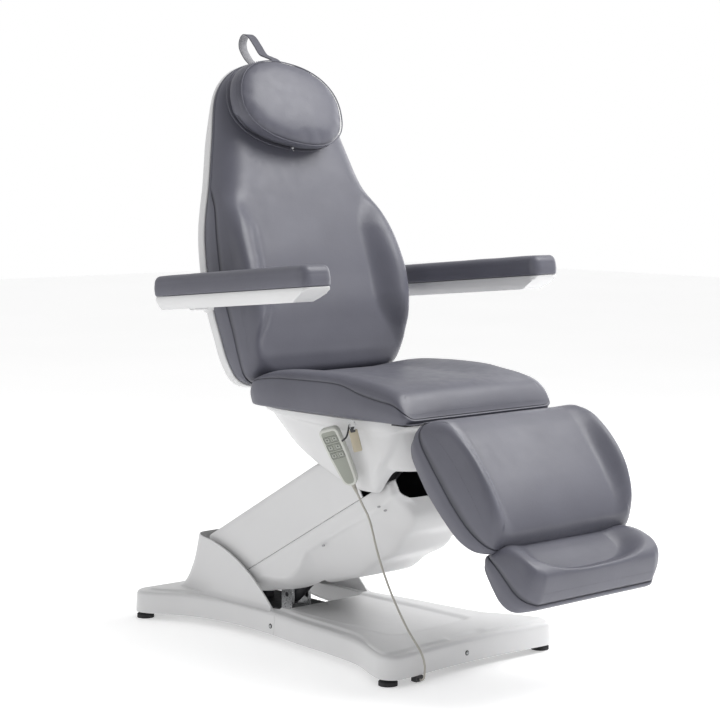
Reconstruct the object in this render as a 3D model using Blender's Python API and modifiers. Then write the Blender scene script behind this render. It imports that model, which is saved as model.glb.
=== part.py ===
"""Facial treatment bed: a powered chair whose seat rises on a parallelogram arm and whose back, leg rest
and footrest lie down to a bed. Metres, +Z up, the foot end faces -Y, the floor is at Z = 0."""

import math

import bmesh
import bpy
from mathutils import Matrix, Vector

# ---- Driving dimensions -------------------------------------------------------------------------------
Y_OFFSET = 0.1037  # brings the middle of the object's length to the origin
GAP = 0.0003  # clearance between pieces that touch

BASE_BOTTOM = 0.017
BASE_EDGE = 0.066
BASE_DECK = 0.076
COVER_WALL = 0.004
SPLIT_Y = 0.108
SHROUD_HALF = 0.165
FOOT_SPOTS = {
    "front_left": (-0.258, -0.378),
    "front_right": (0.258, -0.378),
    "rear_left": (-0.252, 0.55),
    "rear_right": (0.252, 0.55),
}

ARM_PIVOT = (0.385, 0.135)  # (Y, Z) of the lift arm's lower axis
ARM_SLOPE = 29.2  # degrees above level, towards the front
ARM_LENGTH = 0.700
ARM_HALF = 0.145
ARM_TOP = 0.096
ARM_SEAM = -0.043
ARM_FOLD = -0.088
LINK_OFFSET = (0.030, 0.045)  # from each arm axis to the parallel link's axis

RECLINE_AXIS = (0.185, 0.575)
BACK_LEAN = 13.4
KNEE_AXIS = (-0.405, 0.575)
LEG_SLOPE = 49.5
FOOT_PLACE = (0.344, 0.021)  # along and above the leg rest's own axis
FOOT_TURN = -16.5
SEAT_BOTTOM = 0.5995
FRAME_TOP = 0.594
FRAME_BOTTOM = 0.588
ARMREST_TILT = 5.2
ARMREST_HEIGHT = 0.2766  # along the back, above the recline axis
ARMREST_DEPTH = -0.0042
ARMREST_INNER = 0.337
ARMREST_OUTER = 0.424

PILLOW_HEIGHT = 0.756  # centre, along the back
PILLOW_SLOPE = 0.14  # how far the back's face falls away per metre upwards

BACK_LANE = 0.045  # X of the back actuator
LEG_LANE = -0.045
LIFT_LANE = -0.050
SHAFT_RADIUS = 0.012
SHAFT_HOLE = 0.0124

CLEVIS = (0.180, 0.095)  # (Y, Z) of the lift actuator's lower axis
LIFT_PIN = (0.500, -0.060)  # on the arm, along and above its axis

HANDSET_TOP = (-0.2620, -0.190, 0.583)
HANDSET_BOTTOM = (-0.1960, -0.206, 0.446)
HANDSET_SIZE = (0.050, 0.020)
CORD_RADIUS = 0.0026

WHITE = (0.86, 0.87, 0.88)
GREY = (0.20, 0.20, 0.235)
STEEL = (0.55, 0.56, 0.57)
DARK = (0.05, 0.05, 0.055)
CREAM = (0.80, 0.79, 0.74)
SAGE = (0.42, 0.43, 0.38)

# Upholstery, one row per station: place along the cushion, half width, underside, side seam, side bolster, middle
BACK_STATIONS = (
    (0.070, 0.185, -0.0205, -0.032, -0.048, -0.048),
    (0.088, 0.222, -0.0205, -0.038, -0.085, -0.075),
    (0.135, 0.250, -0.0205, -0.045, -0.135, -0.108),
    (0.190, 0.258, -0.0205, -0.052, -0.155, -0.118),
    (0.242, 0.266, -0.0205, -0.055, -0.160, -0.118),
    (0.313, 0.270, -0.0205, -0.055, -0.158, -0.113),
    (0.373, 0.267, -0.0205, -0.055, -0.148, -0.110),
    (0.437, 0.260, -0.0205, -0.052, -0.134, -0.105),
    (0.498, 0.245, -0.0205, -0.050, -0.118, -0.100),
    (0.585, 0.217, -0.0205, -0.048, -0.098, -0.092),
    (0.687, 0.190, -0.0205, -0.045, -0.080, -0.080),
    (0.787, 0.163, -0.0205, -0.040, -0.070, -0.070),
    (0.837, 0.127, -0.0205, -0.036, -0.060, -0.060),
    (0.866, 0.085, -0.0205, -0.032, -0.050, -0.050),
    (0.885, 0.030, -0.0205, -0.028, -0.038, -0.038),
)
SEAT_STATIONS = (
    (-0.420, 0.235, 0.6030, 0.612, 0.618, 0.620),
    (-0.410, 0.243, 0.5995, 0.625, 0.640, 0.645),
    (-0.380, 0.248, 0.5995, 0.643, 0.668, 0.672),
    (-0.330, 0.250, 0.5995, 0.650, 0.682, 0.681),
    (-0.270, 0.250, 0.5995, 0.660, 0.690, 0.683),
    (-0.200, 0.250, 0.5995, 0.676, 0.697, 0.684),
    (-0.080, 0.250, 0.5995, 0.676, 0.697, 0.684),
    (0.030, 0.250, 0.5995, 0.672, 0.690, 0.680),
    (0.110, 0.245, 0.5995, 0.660, 0.670, 0.666),
    (0.140, 0.228, 0.6010, 0.642, 0.648, 0.648),
    (0.150, 0.200, 0.6060, 0.625, 0.630, 0.630),
)
LEG_STATIONS = (
    (0.026, 0.228, 0.030, 0.060, 0.085, 0.085),
    (0.034, 0.242, 0.012, 0.066, 0.100, 0.098),
    (0.055, 0.249, 0.000, 0.070, 0.122, 0.112),
    (0.090, 0.250, -0.006, 0.072, 0.142, 0.120),
    (0.150, 0.250, -0.011, 0.072, 0.154, 0.121),
    (0.220, 0.248, -0.009, 0.066, 0.152, 0.116),
    (0.280, 0.240, -0.004, 0.064, 0.131, 0.106),
    (0.315, 0.229, 0.018, 0.066, 0.098, 0.088),
    (0.336, 0.212, 0.050, 0.068, 0.076, 0.073),
)
FOOT_STATIONS = (
    (0.000, 0.190, -0.020, -0.005, 0.005, 0.000),
    (0.012, 0.205, -0.030, 0.004, 0.026, 0.018),
    (0.040, 0.213, -0.040, 0.010, 0.055, 0.034),
    (0.080, 0.216, -0.053, 0.008, 0.071, 0.036),
    (0.115, 0.214, -0.052, 0.004, 0.072, 0.044),
    (0.140, 0.205, -0.042, 0.004, 0.058, 0.052),
    (0.156, 0.180, -0.022, 0.000, 0.028, 0.028),
)

# ---- Scene --------------------------------------------------------------------------------------------
for old in list(bpy.data.objects):
    bpy.data.objects.remove(old, do_unlink=True)

PARTS = bpy.data.collections.new("facial_treatment_bed")
CUTTERS = bpy.data.collections.new("cutters")
bpy.context.scene.collection.children.link(PARTS)
bpy.context.scene.collection.children.link(CUTTERS)

# Local axes of a plate that stands across X: its outline is drawn in (Y, Z)
STANDING = Matrix(((0, 0, 1), (1, 0, 0), (0, 1, 0))).to_4x4()
FLAT = Matrix.Identity(4)


def material(name, colour, roughness, metallic=0.0):
    made = bpy.data.materials.new(name)
    made.use_nodes = True
    shader = made.node_tree.nodes["Principled BSDF"]
    shader.inputs["Base Color"].default_value = (*colour, 1.0)
    shader.inputs["Roughness"].default_value = roughness
    shader.inputs["Metallic"].default_value = metallic
    return made


def axis(name, place, parent=None, turn=0.0):
    """An empty on a joint's axis: place is (Y, Z) or (X, Y, Z), turn is about X in degrees."""
    empty = bpy.data.objects.new(name, None)
    PARTS.objects.link(empty)
    empty.parent = parent
    empty.location = place if len(place) == 3 else (0.0, *place)
    empty.rotation_euler = (math.radians(turn), 0.0, 0.0)
    return empty


def finish(name, mesh, parent, look, cutter=False):
    """Puts a mesh in the scene as a part, or as a cutter that the build leaves out."""
    obj = bpy.data.objects.new(name, mesh)
    obj.parent = parent
    if cutter or look is None:
        CUTTERS.objects.link(obj)
        obj.hide_render = True
        obj.display_type = "WIRE"
        return obj
    PARTS.objects.link(obj)
    mesh.materials.append(material(name, *look))
    return obj


def mesh_from(bm, name, smooth_angle=35.0):
    bmesh.ops.recalc_face_normals(bm, faces=bm.faces)
    mesh = bpy.data.meshes.new(name)
    bm.to_mesh(mesh)
    bm.free()
    mesh.shade_smooth()
    mesh.set_sharp_from_angle(angle=math.radians(smooth_angle))
    return mesh


def circle(centre, radius, count=20):
    steps = [2 * math.pi * i / count for i in range(count)]
    return [(centre[0] + radius * math.cos(a), centre[1] + radius * math.sin(a)) for a in steps]


def arc(centre, radius, start, end, count):
    steps = [math.radians(start + (end - start) * i / count) for i in range(count + 1)]
    return [(centre[0] + radius * math.cos(a), centre[1] + radius * math.sin(a)) for a in steps]


def smooth_line(points, per_span=3):
    """Catmull-Rom curve through points of any dimension."""
    rows = [Vector(p) for p in points]
    out = []
    for i in range(len(rows) - 1):
        before = rows[max(i - 1, 0)]
        after = rows[min(i + 2, len(rows) - 1)]
        for k in range(per_span):
            t = k / per_span
            out.append(
                0.5
                * (
                    2 * rows[i]
                    + (rows[i + 1] - before) * t
                    + (2 * before - 5 * rows[i] + 4 * rows[i + 1] - after) * t**2
                    + (3 * rows[i] - before - 3 * rows[i + 1] + after) * t**3
                )
            )
    return [tuple(p) for p in out + [rows[-1]]]


def mirrored(half):
    """A closed outline from its +X half, listed from one end of the Y axis to the other."""
    return list(half) + [(-x, y) for x, y in reversed(half) if abs(x) > 1e-6]


def inset(outline, depth):
    """The outline moved inwards by depth."""
    area = sum(a[0] * b[1] - b[0] * a[1] for a, b in zip(outline, outline[1:] + outline[:1]))
    side = 1.0 if area > 0 else -1.0
    moved = []
    for i, here in enumerate(outline):
        before = Vector(outline[i - 1])
        after = Vector(outline[(i + 1) % len(outline)])
        along = (after - before).normalized()
        moved.append((here[0] - side * along.y * depth, here[1] + side * along.x * depth))
    return moved


def prism(name, outline, low, high, parent, look=None, frame=FLAT, holes=(), cutter=False):
    """A flat outline with holes, filled and extruded from low to high across its plane."""
    curve = bpy.data.curves.new(name, "CURVE")
    curve.dimensions = "2D"
    curve.fill_mode = "BOTH"
    curve.extrude = (high - low) / 2
    for loop in (outline, *holes):
        spline = curve.splines.new("POLY")
        spline.points.add(len(loop) - 1)
        for point, (x, y) in zip(spline.points, loop):
            point.co = (x, y, 0.0, 1.0)
        spline.use_cyclic_u = True
    source = bpy.data.objects.new(name + "_outline", curve)
    CUTTERS.objects.link(source)
    graph = bpy.context.evaluated_depsgraph_get()
    mesh = bpy.data.meshes.new_from_object(source.evaluated_get(graph))
    bpy.data.objects.remove(source, do_unlink=True)
    bm = bmesh.new()
    bm.from_mesh(mesh)
    bpy.data.meshes.remove(mesh)
    bmesh.ops.remove_doubles(bm, verts=bm.verts, dist=1e-6)
    bmesh.ops.translate(bm, verts=bm.verts, vec=(0.0, 0.0, (low + high) / 2))
    bmesh.ops.transform(bm, matrix=frame, verts=bm.verts)
    return finish(name, mesh_from(bm, name), parent, look, cutter)


def block(name, low, high, parent, look=None, bevel=0.0, cutter=False):
    bm = bmesh.new()
    bmesh.ops.create_cube(bm, size=1.0)
    size = Vector(high) - Vector(low)
    middle = (Vector(high) + Vector(low)) / 2
    bmesh.ops.scale(bm, vec=size, verts=bm.verts)
    bmesh.ops.translate(bm, verts=bm.verts, vec=middle)
    obj = finish(name, mesh_from(bm, name), parent, look, cutter)
    if bevel:
        rounding = obj.modifiers.new("rounded_edges", "BEVEL")
        rounding.width = bevel
        rounding.segments = 2
    return obj


def rod(name, start, end, radius, parent, look=None, sides=24, cutter=False):
    bm = bmesh.new()
    run = Vector(end) - Vector(start)
    bmesh.ops.create_cone(
        bm, cap_ends=True, segments=sides, radius1=radius, radius2=radius, depth=run.length
    )
    turn = run.to_track_quat("Z", "Y").to_matrix().to_4x4()
    middle = (Vector(start) + Vector(end)) / 2
    bmesh.ops.transform(bm, matrix=Matrix.Translation(middle) @ turn, verts=bm.verts)
    return finish(name, mesh_from(bm, name), parent, look, cutter)


def turned(name, profile, place, parent, look, steps=24):
    """A profile of (radius, height) pairs, listed from top to bottom, turned about Z."""
    bm = bmesh.new()
    verts = [bm.verts.new((r, 0.0, z)) for r, z in profile]
    for a, b in zip(verts, verts[1:]):
        bm.edges.new((a, b))
    mesh = bpy.data.meshes.new(name)
    bm.to_mesh(mesh)
    bm.free()
    obj = finish(name, mesh, parent, look)
    obj.location = place
    screw = obj.modifiers.new("turned", "SCREW")
    screw.steps = steps
    screw.render_steps = steps
    screw.use_merge_vertices = True
    screw.merge_threshold = 0.0001
    return obj


def combine(target, tool, operation):
    """Keeps the join or the cut as a modifier, and moves the tool out of the render."""
    for home in list(tool.users_collection):
        home.objects.unlink(tool)
    CUTTERS.objects.link(tool)
    tool.hide_render = True
    tool.display_type = "WIRE"
    step = target.modifiers.new(tool.name, "BOOLEAN")
    step.operation = operation
    step.object = tool


def loft(name, rings, parent, look, closed=True, wall=0.0):
    """Skins rings of equal counts. Closed rings give a solid, open rings give a shell with a wall."""
    bm = bmesh.new()
    rows = [[bm.verts.new(p) for p in ring] for ring in rings]
    count = len(rows[0])
    spans = count if closed else count - 1
    for a, b in zip(rows, rows[1:]):
        for i in range(spans):
            j = (i + 1) % count
            bm.faces.new((a[i], a[j], b[j], b[i]))
    if closed and not wall:
        bm.faces.new(rows[0])
        bm.faces.new(list(reversed(rows[-1])))
    obj = finish(name, mesh_from(bm, name), parent, look)
    if wall:
        shell = obj.modifiers.new("wall", "SOLIDIFY")
        shell.thickness = wall
        shell.offset = -1.0
    return obj


def cushion_ring(half, under, seam, bolster, middle):
    """Cross-section of a padded part as (across, height) pairs: flat below, a side panel up to the seam,
    then a bolster on each side of a shallow dish."""
    rise = seam - under
    right = [
        (half * 0.94, under),
        (half, under + rise * 0.18),
        (half, seam),
        (half * 0.975, seam + (bolster - seam) * 0.55),
        (half * 0.91, seam + (bolster - seam) * 0.90),
        (half * 0.80, bolster),
        (half * 0.62, middle + (bolster - middle) * 0.62),
        (half * 0.40, middle + (bolster - middle) * 0.15),
    ]
    return right + [(0.0, middle)] + [(-x, h) for x, h in reversed(right)]


def cushion(name, stations, placed, parent):
    """placed turns (station, across, height) into a point of the parent's frame."""
    rings = [[placed(row[0], x, h) for x, h in cushion_ring(*row[1:])] for row in stations]
    return loft(name, rings, parent, (GREY, 0.45))


# ---- Joint axes ---------------------------------------------------------------------------------------
BED = axis("bed", (0.0, Y_OFFSET, 0.0))
ARM = axis("lift_axis", ARM_PIVOT, BED, -ARM_SLOPE)
slope = math.radians(ARM_SLOPE)
UPPER_PIVOT = (
    ARM_PIVOT[0] - ARM_LENGTH * math.cos(slope),
    ARM_PIVOT[1] + ARM_LENGTH * math.sin(slope),
)
LINK_LOW = (ARM_PIVOT[0] + LINK_OFFSET[0], ARM_PIVOT[1] + LINK_OFFSET[1])
LINK_HIGH = (UPPER_PIVOT[0] + LINK_OFFSET[0], UPPER_PIVOT[1] + LINK_OFFSET[1])
LINK = axis("link_axis", LINK_LOW, BED, -ARM_SLOPE)
BACK = axis("recline_axis", RECLINE_AXIS, BED, -BACK_LEAN)
LEG = axis("knee_axis", KNEE_AXIS, BED, LEG_SLOPE)
FOOT = axis("foot_place", (-FOOT_PLACE[0], FOOT_PLACE[1]), LEG, FOOT_TURN)
ARMRESTS = axis("armrest_axis", (ARMREST_DEPTH, ARMREST_HEIGHT), BACK, BACK_LEAN - ARMREST_TILT)


def shrink(half, depth, split, beyond=0.0):
    """The +X half of a cover's outline moved inwards. Its first point stays level with the split, or beyond."""
    whole = inset(mirrored(half), depth)[: len(half)]
    ends = [(whole[1][0], split + beyond)] + whole[1:-1]
    return mirrored(ends + [(0.0, whole[-1][1])])


def build_base():
    side_front = smooth_line(
        ((0.187, SPLIT_Y), (0.203, 0.0), (0.213, -0.12), (0.232, -0.24), (0.266, -0.32), (0.2835, -0.364))
    )
    front_half = (
        side_front
        + arc((0.245, -0.375), 0.040, 0.0, -90.0, 5)
        + smooth_line(((0.205, -0.412), (0.10, -0.404), (0.0, -0.401)))
    )
    side_rear = smooth_line(
        ((0.187, SPLIT_Y), (0.180, 0.22), (0.186, 0.33), (0.215, 0.43), (0.262, 0.505), (0.278, 0.535))
    )
    rear_half = (
        side_rear + arc((0.235, 0.541), 0.045, 10.0, 90.0, 5) + smooth_line(((0.19, 0.584), (0.0, 0.578)))
    )
    for name, half, split in (
        ("base_cover_front", front_half, SPLIT_Y - GAP),
        ("base_cover_rear", rear_half, SPLIT_Y + GAP),
    ):
        beyond = 0.05 if name == "base_cover_front" else -0.05
        half = [(half[0][0], split)] + list(half[1:])
        cover = prism(name, mirrored(half), BASE_BOTTOM, BASE_EDGE, BED, (WHITE, 0.25))
        rounding = cover.modifiers.new("rounded_edges", "BEVEL")
        rounding.width = 0.005
        rounding.segments = 2
        rounding.angle_limit = math.radians(60)
        deck = shrink(half, 0.032, split)
        combine(cover, prism(name + "_deck", deck, BASE_BOTTOM + 0.02, BASE_DECK, BED, cutter=True), "UNION")
        hollow = shrink(half, COVER_WALL, split, beyond)
        under_deck = shrink(half, 0.032 + COVER_WALL, split, beyond)
        for step, shape, top in (("hollow", hollow, BASE_EDGE), ("deck_hollow", under_deck, BASE_DECK)):
            tool = prism(f"{name}_{step}", shape, -0.02, top - COVER_WALL, BED, cutter=True)
            combine(cover, tool, "DIFFERENCE")
        if name == "base_cover_rear":
            add_shroud(cover)
            low, high = (0.040 - GAP, 0.570, 0.024 - GAP), (0.088 + GAP, 0.600, 0.050 + GAP)
            combine(cover, block("inlet_window", low, high, BED, cutter=True), "DIFFERENCE")

    spine = [
        (0.070, 0.535), (0.258, 0.535), (0.258, 0.565), (-0.258, 0.565), (-0.258, 0.535), (-0.070, 0.535),
        (-0.070, -0.356), (-0.262, -0.356), (-0.262, -0.392), (0.262, -0.392), (0.262, -0.356),
        (0.070, -0.356),
    ]
    prism("base_frame", spine, 0.024, 0.050, BED, (DARK, 0.5, 0.6))
    clevis = block("actuator_clevis", (-0.082, 0.160, 0.0503), (-0.018, 0.200, 0.112), BED, (STEEL, 0.3, 0.9))
    slot = block("clevis_slot", (-0.0735, 0.150, 0.062), (-0.0265, 0.210, 0.130), BED, cutter=True)
    pin_hole = rod("clevis_hole", (-0.100, *CLEVIS), (0.0, *CLEVIS), 0.0064, BED, sides=16, cutter=True)
    for tool in (slot, pin_hole):
        combine(clevis, tool, "DIFFERENCE")
    bracket = prism(
        "pivot_bracket",
        [(0.340, 0.0503), (0.455, 0.0503), (0.440, 0.185), (0.425, 0.200), (0.405, 0.200), (0.360, 0.155)],
        -0.012,
        0.012,
        BED,
        (DARK, 0.5, 0.6),
        STANDING,
        [circle(ARM_PIVOT, SHAFT_HOLE)],
    )
    combine(bracket, rod("link_lower_pin", (0.0, *LINK_LOW), (0.036, *LINK_LOW), 0.008, BED), "UNION")
    block("power_inlet", (0.040, 0.5653, 0.024), (0.088, 0.5860, 0.050), BED, (DARK, 0.5), 0.001)
    block("cord_gland", (-0.202, -0.4130, 0.0020), (-0.178, -0.3950, 0.0165), BED, (DARK, 0.6), 0.002)
    for name, (x, y) in FOOT_SPOTS.items():
        turned(
            "foot_" + name,
            ((0.0, 0.0237), (0.007, 0.0237), (0.007, 0.013), (0.019, 0.012), (0.0225, 0.009), (0.0225, 0.0), (0.0, 0.0)),
            (x, y, 0.0),
            BED,
            (DARK, 0.8),
        )


def add_shroud(cover):
    """Two fins with arc-shaped front edges and the wall that joins them behind."""
    rear_edge = smooth_line(
        ((0.440, 0.224), (0.459, 0.216), (0.467, 0.190), (0.480, 0.145), (0.504, 0.100), (0.540, 0.0745)), 2
    )
    front_edge = arc((0.4895, -0.2533), 0.479, 137.0, 100.5, 10)
    fin = front_edge + rear_edge + [(0.540, 0.060), (0.135, 0.060)]
    for side, low in (("left", -SHROUD_HALF), ("right", SHROUD_HALF - COVER_WALL)):
        wall = prism(f"fin_{side}", fin, low, low + COVER_WALL, BED, None, STANDING, cutter=True)
        combine(cover, wall, "UNION")
    wall_edge = [(y, z) for y, z in rear_edge if y > 0.452]
    inner = [(y - COVER_WALL, z) for y, z in wall_edge]
    back = wall_edge + [(0.540, 0.0735)] + list(reversed(inner[:-1]))
    reach = SHROUD_HALF - COVER_WALL / 2
    combine(cover, prism("fin_back", back, -reach, reach, BED, None, STANDING, cutter=True), "UNION")
    well = block("arm_well", (-0.150, 0.130, 0.04), (0.150, 0.500, 0.10), BED, cutter=True)
    combine(cover, well, "DIFFERENCE")


def build_arm():
    plate = (
        arc((0.0, 0.0), 0.032, -95.0, 90.0, 8)
        + arc((-ARM_LENGTH, 0.0), 0.032, 90.0, 255.0, 8)
        + arc((-LIFT_PIN[0], LIFT_PIN[1]), 0.018, 235.0, 305.0, 3)
    )
    holes = [
        circle((0.0, 0.0), SHAFT_HOLE),
        circle((-ARM_LENGTH, 0.0), SHAFT_HOLE),
        circle((-LIFT_PIN[0], LIFT_PIN[1]), 0.0064, 12),
    ]
    frame = prism("lift_arm_frame", plate, 0.097, 0.104, ARM, (DARK, 0.5, 0.6), STANDING, holes)
    other = prism("arm_plate_left", plate, -0.104, -0.097, ARM, None, STANDING, holes, cutter=True)
    tie = block("arm_tie", (-0.101, -0.260, -0.024), (0.101, -0.180, 0.024), ARM, cutter=True)
    for piece in (other, tie):
        combine(frame, piece, "UNION")
    for name, y in (("arm_lower_shaft", 0.0), ("arm_upper_shaft", -ARM_LENGTH)):
        rod(name, (-0.108, y, 0.0), (0.108, y, 0.0), SHAFT_RADIUS, ARM, (STEEL, 0.3, 0.9))
    pin = (-LIFT_PIN[0], LIFT_PIN[1])
    rod("lift_actuator_pin", (-0.107, *pin), (0.107, *pin), 0.006, ARM, (STEEL, 0.3, 0.9), 16)

    top = block(
        "arm_cover_upper",
        (-ARM_HALF, -0.500, ARM_SEAM + 0.0005),
        (ARM_HALF, -0.030, ARM_TOP),
        ARM,
        (WHITE, 0.25),
        0.010,
    )
    inside = block(
        "arm_cover_upper_hollow",
        (-ARM_HALF + COVER_WALL, -0.600, ARM_SEAM - 0.05),
        (ARM_HALF - COVER_WALL, 0.10, ARM_TOP - COVER_WALL),
        ARM,
        cutter=True,
    )
    combine(top, inside, "DIFFERENCE")

    belly = smooth_line(
        (
            (-0.085, -0.090), (-0.150, -0.122), (-0.250, -0.152), (-0.360, -0.172), (-0.450, -0.194),
            (-0.520, -0.188), (-0.590, -0.190), (-0.640, -0.168), (-0.675, -0.160), (-0.700, -0.140),
        ),
        2,
    )
    nose = [(-0.722, -0.095), (-0.722, ARM_SEAM - 0.0005)]
    side = [(-0.072, ARM_SEAM - 0.0005), (-0.072, -0.086)] + belly + nose
    lower = prism("arm_cover_lower", side, -ARM_HALF, ARM_HALF, ARM, (WHITE, 0.25), STANDING)
    inner_side = inset(side, COVER_WALL)
    inner_side = [(y, z if z < ARM_SEAM - 0.01 else 0.0) for y, z in inner_side]
    reach = ARM_HALF - COVER_WALL
    hollow = prism("arm_cover_lower_hollow", inner_side, -reach, reach, ARM, None, STANDING, cutter=True)
    window = block("belly_window", (-0.100, -0.340, -0.30), (0.100, -0.060, -0.06), ARM, cutter=True)
    notch = block("bracket_notch", (-0.055, -0.800, -0.120), (0.055, -0.600, 0.0), ARM, cutter=True)
    for tool in (hollow, window, notch):
        combine(lower, tool, "DIFFERENCE")

    link = (
        arc((0.0, 0.0), 0.017, -90.0, 90.0, 6) + arc((-ARM_LENGTH, 0.0), 0.017, 90.0, 270.0, 6)
    )
    prism(
        "parallel_link",
        link,
        0.020,
        0.032,
        LINK,
        (DARK, 0.5, 0.6),
        STANDING,
        [circle((0.0, 0.0), 0.0084, 16), circle((-ARM_LENGTH, 0.0), 0.0084, 16)],
    )


def build_lift_actuator():
    pin = Vector((ARM_PIVOT[0], ARM_PIVOT[1])) + Vector(
        (
            -LIFT_PIN[0] * math.cos(slope) + LIFT_PIN[1] * math.sin(slope),
            LIFT_PIN[0] * math.sin(slope) + LIFT_PIN[1] * math.cos(slope),
        )
    )
    run = pin - Vector(CLEVIS)
    line = axis("lift_actuator_axis", (LIFT_LANE, *CLEVIS), BED, math.degrees(math.atan2(-run.x, run.y)) * -1.0)
    line.rotation_euler = (math.atan2(run.y, run.x) - math.pi / 2, 0.0, 0.0)
    tube = turned(
        "lift_actuator_tube",
        ((0.0, 0.185), (0.015, 0.185), (0.015, 0.060), (0.020, 0.058), (0.020, -0.010), (0.012, -0.016), (0.0, -0.016)),
        (0.0, 0.0, 0.0),
        line,
        (DARK, 0.5, 0.3),
        16,
    )
    trunnion = rod("tube_trunnion", (-0.0318, 0.0, 0.0), (0.0318, 0.0, 0.0), 0.006, line, sides=16)
    combine(tube, trunnion, "UNION")
    bore = rod("rod_bore", (0.0, 0.0, 0.070), (0.0, 0.0, 0.220), 0.0095, line, sides=16, cutter=True)
    combine(tube, bore, "DIFFERENCE")
    reach = run.length
    turned(
        "lift_actuator_rod",
        ((0.0, reach - 0.020), (0.0085, reach - 0.020), (0.0085, 0.080), (0.0, 0.080)),
        (0.0, 0.0, 0.0),
        line,
        (STEEL, 0.25, 0.9),
        16,
    )


def build_pedestal():
    rings = []
    for depth in (0.0, 0.12, 0.40, 0.72, 1.0):
        narrow = 1.0 - 0.30 * depth**1.3
        ring = []
        for i in range(36):
            angle = 2 * math.pi * i / 36
            across, along = math.cos(angle), math.sin(angle)
            across = math.copysign(abs(across) ** 0.62, across)
            along = math.copysign(abs(along) ** 0.62, along)
            y = -0.100 + along * (0.262 - 0.016 * depth)
            low = 0.420 if y < -0.16 else 0.420 + 0.150 * ((y + 0.16) / 0.32)
            z = 0.591 + (low - 0.591) * depth
            ring.append((0.236 * narrow * across, y, z))
        rings.append(ring)
    cover = loft("pedestal_cover", rings, BED, (WHITE, 0.25), True, COVER_WALL)
    for name, low, high in (
        ("top_trim", (-0.30, -0.50, FRAME_BOTTOM - GAP), (0.30, 0.30, 0.65)),
        ("arm_slot", (-0.152, -0.45, 0.380), (0.152, -0.25, 0.490)),
        ("lever_window", (-0.075, -0.45, 0.503), (-0.028, -0.25, 0.560)),
        ("knee_notch", (-0.0485, -0.45, 0.552), (0.0485, -0.25, 0.620)),
        ("recline_notch", (-0.0485, 0.08, 0.540), (0.0485, 0.30, 0.620)),
    ):
        combine(cover, block(name, low, high, BED, cutter=True), "DIFFERENCE")

    half_frame = [(0.0, -0.423), (0.050, -0.423), (0.050, -0.370), (0.20, -0.370), (0.20, 0.12), (0.16, 0.145)]
    frame = half_frame + [(-x, y) for x, y in reversed(half_frame) if x]
    prism("seat_frame", frame, FRAME_BOTTOM, FRAME_TOP, BED, (DARK, 0.5, 0.6))
    ceiling = FRAME_BOTTOM - GAP
    hanger = prism(
        "pedestal_bracket",
        [
            (-0.310, ceiling), (-0.275, 0.440), (-0.255, 0.430), (-0.220, 0.430), (-0.195, 0.470),
            (-0.180, 0.500), (-0.120, ceiling),
        ],
        -0.012,
        0.012,
        BED,
        (DARK, 0.5, 0.6),
        STANDING,
        [circle(UPPER_PIVOT, SHAFT_HOLE)],
    )
    combine(hanger, rod("link_upper_pin", (0.0, *LINK_HIGH), (0.036, *LINK_HIGH), 0.008, BED), "UNION")
    for name, (y, z) in (("recline_bearing", RECLINE_AXIS), ("knee_bearing", KNEE_AXIS)):
        toward = -0.075 if y > 0 else 0.045
        low, high = sorted((y + toward, y + math.copysign(0.018, y)))
        bearing = block(name, (-0.048, low, z - 0.020), (0.048, high, ceiling), BED, (DARK, 0.5, 0.6))
        bore = rod(name + "_bore", (-0.1, y, z), (0.1, y, z), SHAFT_HOLE, BED, cutter=True)
        combine(bearing, bore, "DIFFERENCE")
    block("control_box", (-0.135, -0.050, 0.530), (-0.074, 0.050, ceiling), BED, (DARK, 0.6), 0.004)
    cushion("seat_cushion", SEAT_STATIONS, lambda y, x, h: (x, y, h), BED)

    for name, lane, rear, front, level in (
        ("back_actuator", BACK_LANE, 0.080, -0.100, 0.533),
        ("leg_actuator", LEG_LANE, -0.120, -0.300, 0.5265),
    ):
        tube = rod(f"{name}_tube", (lane, rear, level), (lane, front, level), 0.017, BED, (DARK, 0.5, 0.3), 16)
        mouth = rear if lane > 0 else front
        outward = 1.0 if lane > 0 else -1.0
        bore = rod(
            f"{name}_bore",
            (lane, mouth + outward * 0.02, level),
            (lane, mouth - outward * 0.157, level),
            0.0088,
            BED,
            sides=16,
            cutter=True,
        )
        combine(tube, bore, "DIFFERENCE")
    for name, lane, tail, tip, level in (
        ("back_actuator_rod", BACK_LANE, -0.005, 0.205, 0.533),
        ("leg_actuator_rod", LEG_LANE, -0.190, -0.398, 0.5265),
    ):
        rod(name, (lane, tail, level), (lane, tip, level), 0.0080, BED, (STEEL, 0.25, 0.9), 16)


def hinge_arms(plate, outline, lever, parent, lane):
    """Joins two hinge arms to a frame plate. The arm beside the actuator also carries its lever."""
    for side in (-1.0, 1.0):
        low, high = sorted((side * 0.055, side * 0.063))
        name = f"{plate.name}_arm_{'left' if side < 0 else 'right'}"
        combine(plate, prism(name, outline, low, high, parent, None, STANDING), "UNION")
        if side * lane > 0:
            eye = prism(
                name + "_lever",
                [(0.012, -0.006), (-0.012, -0.016)] + circle_part(lever, 0.018),
                low,
                high,
                parent,
                None,
                STANDING,
                [circle(lever, 0.0115, 16)],
            )
            combine(plate, eye, "UNION")
    bore = rod(plate.name + "_bore", (-0.1, 0.0, 0.0), (0.1, 0.0, 0.0), SHAFT_HOLE, parent, cutter=True)
    combine(plate, bore, "DIFFERENCE")


def circle_part(centre, radius):
    """The far half of a circle about centre, as seen from the origin, in the order that closes a lever."""
    away = math.degrees(math.atan2(centre[1], centre[0]))
    return arc(centre, radius, away - 95.0, away + 95.0, 8)


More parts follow.
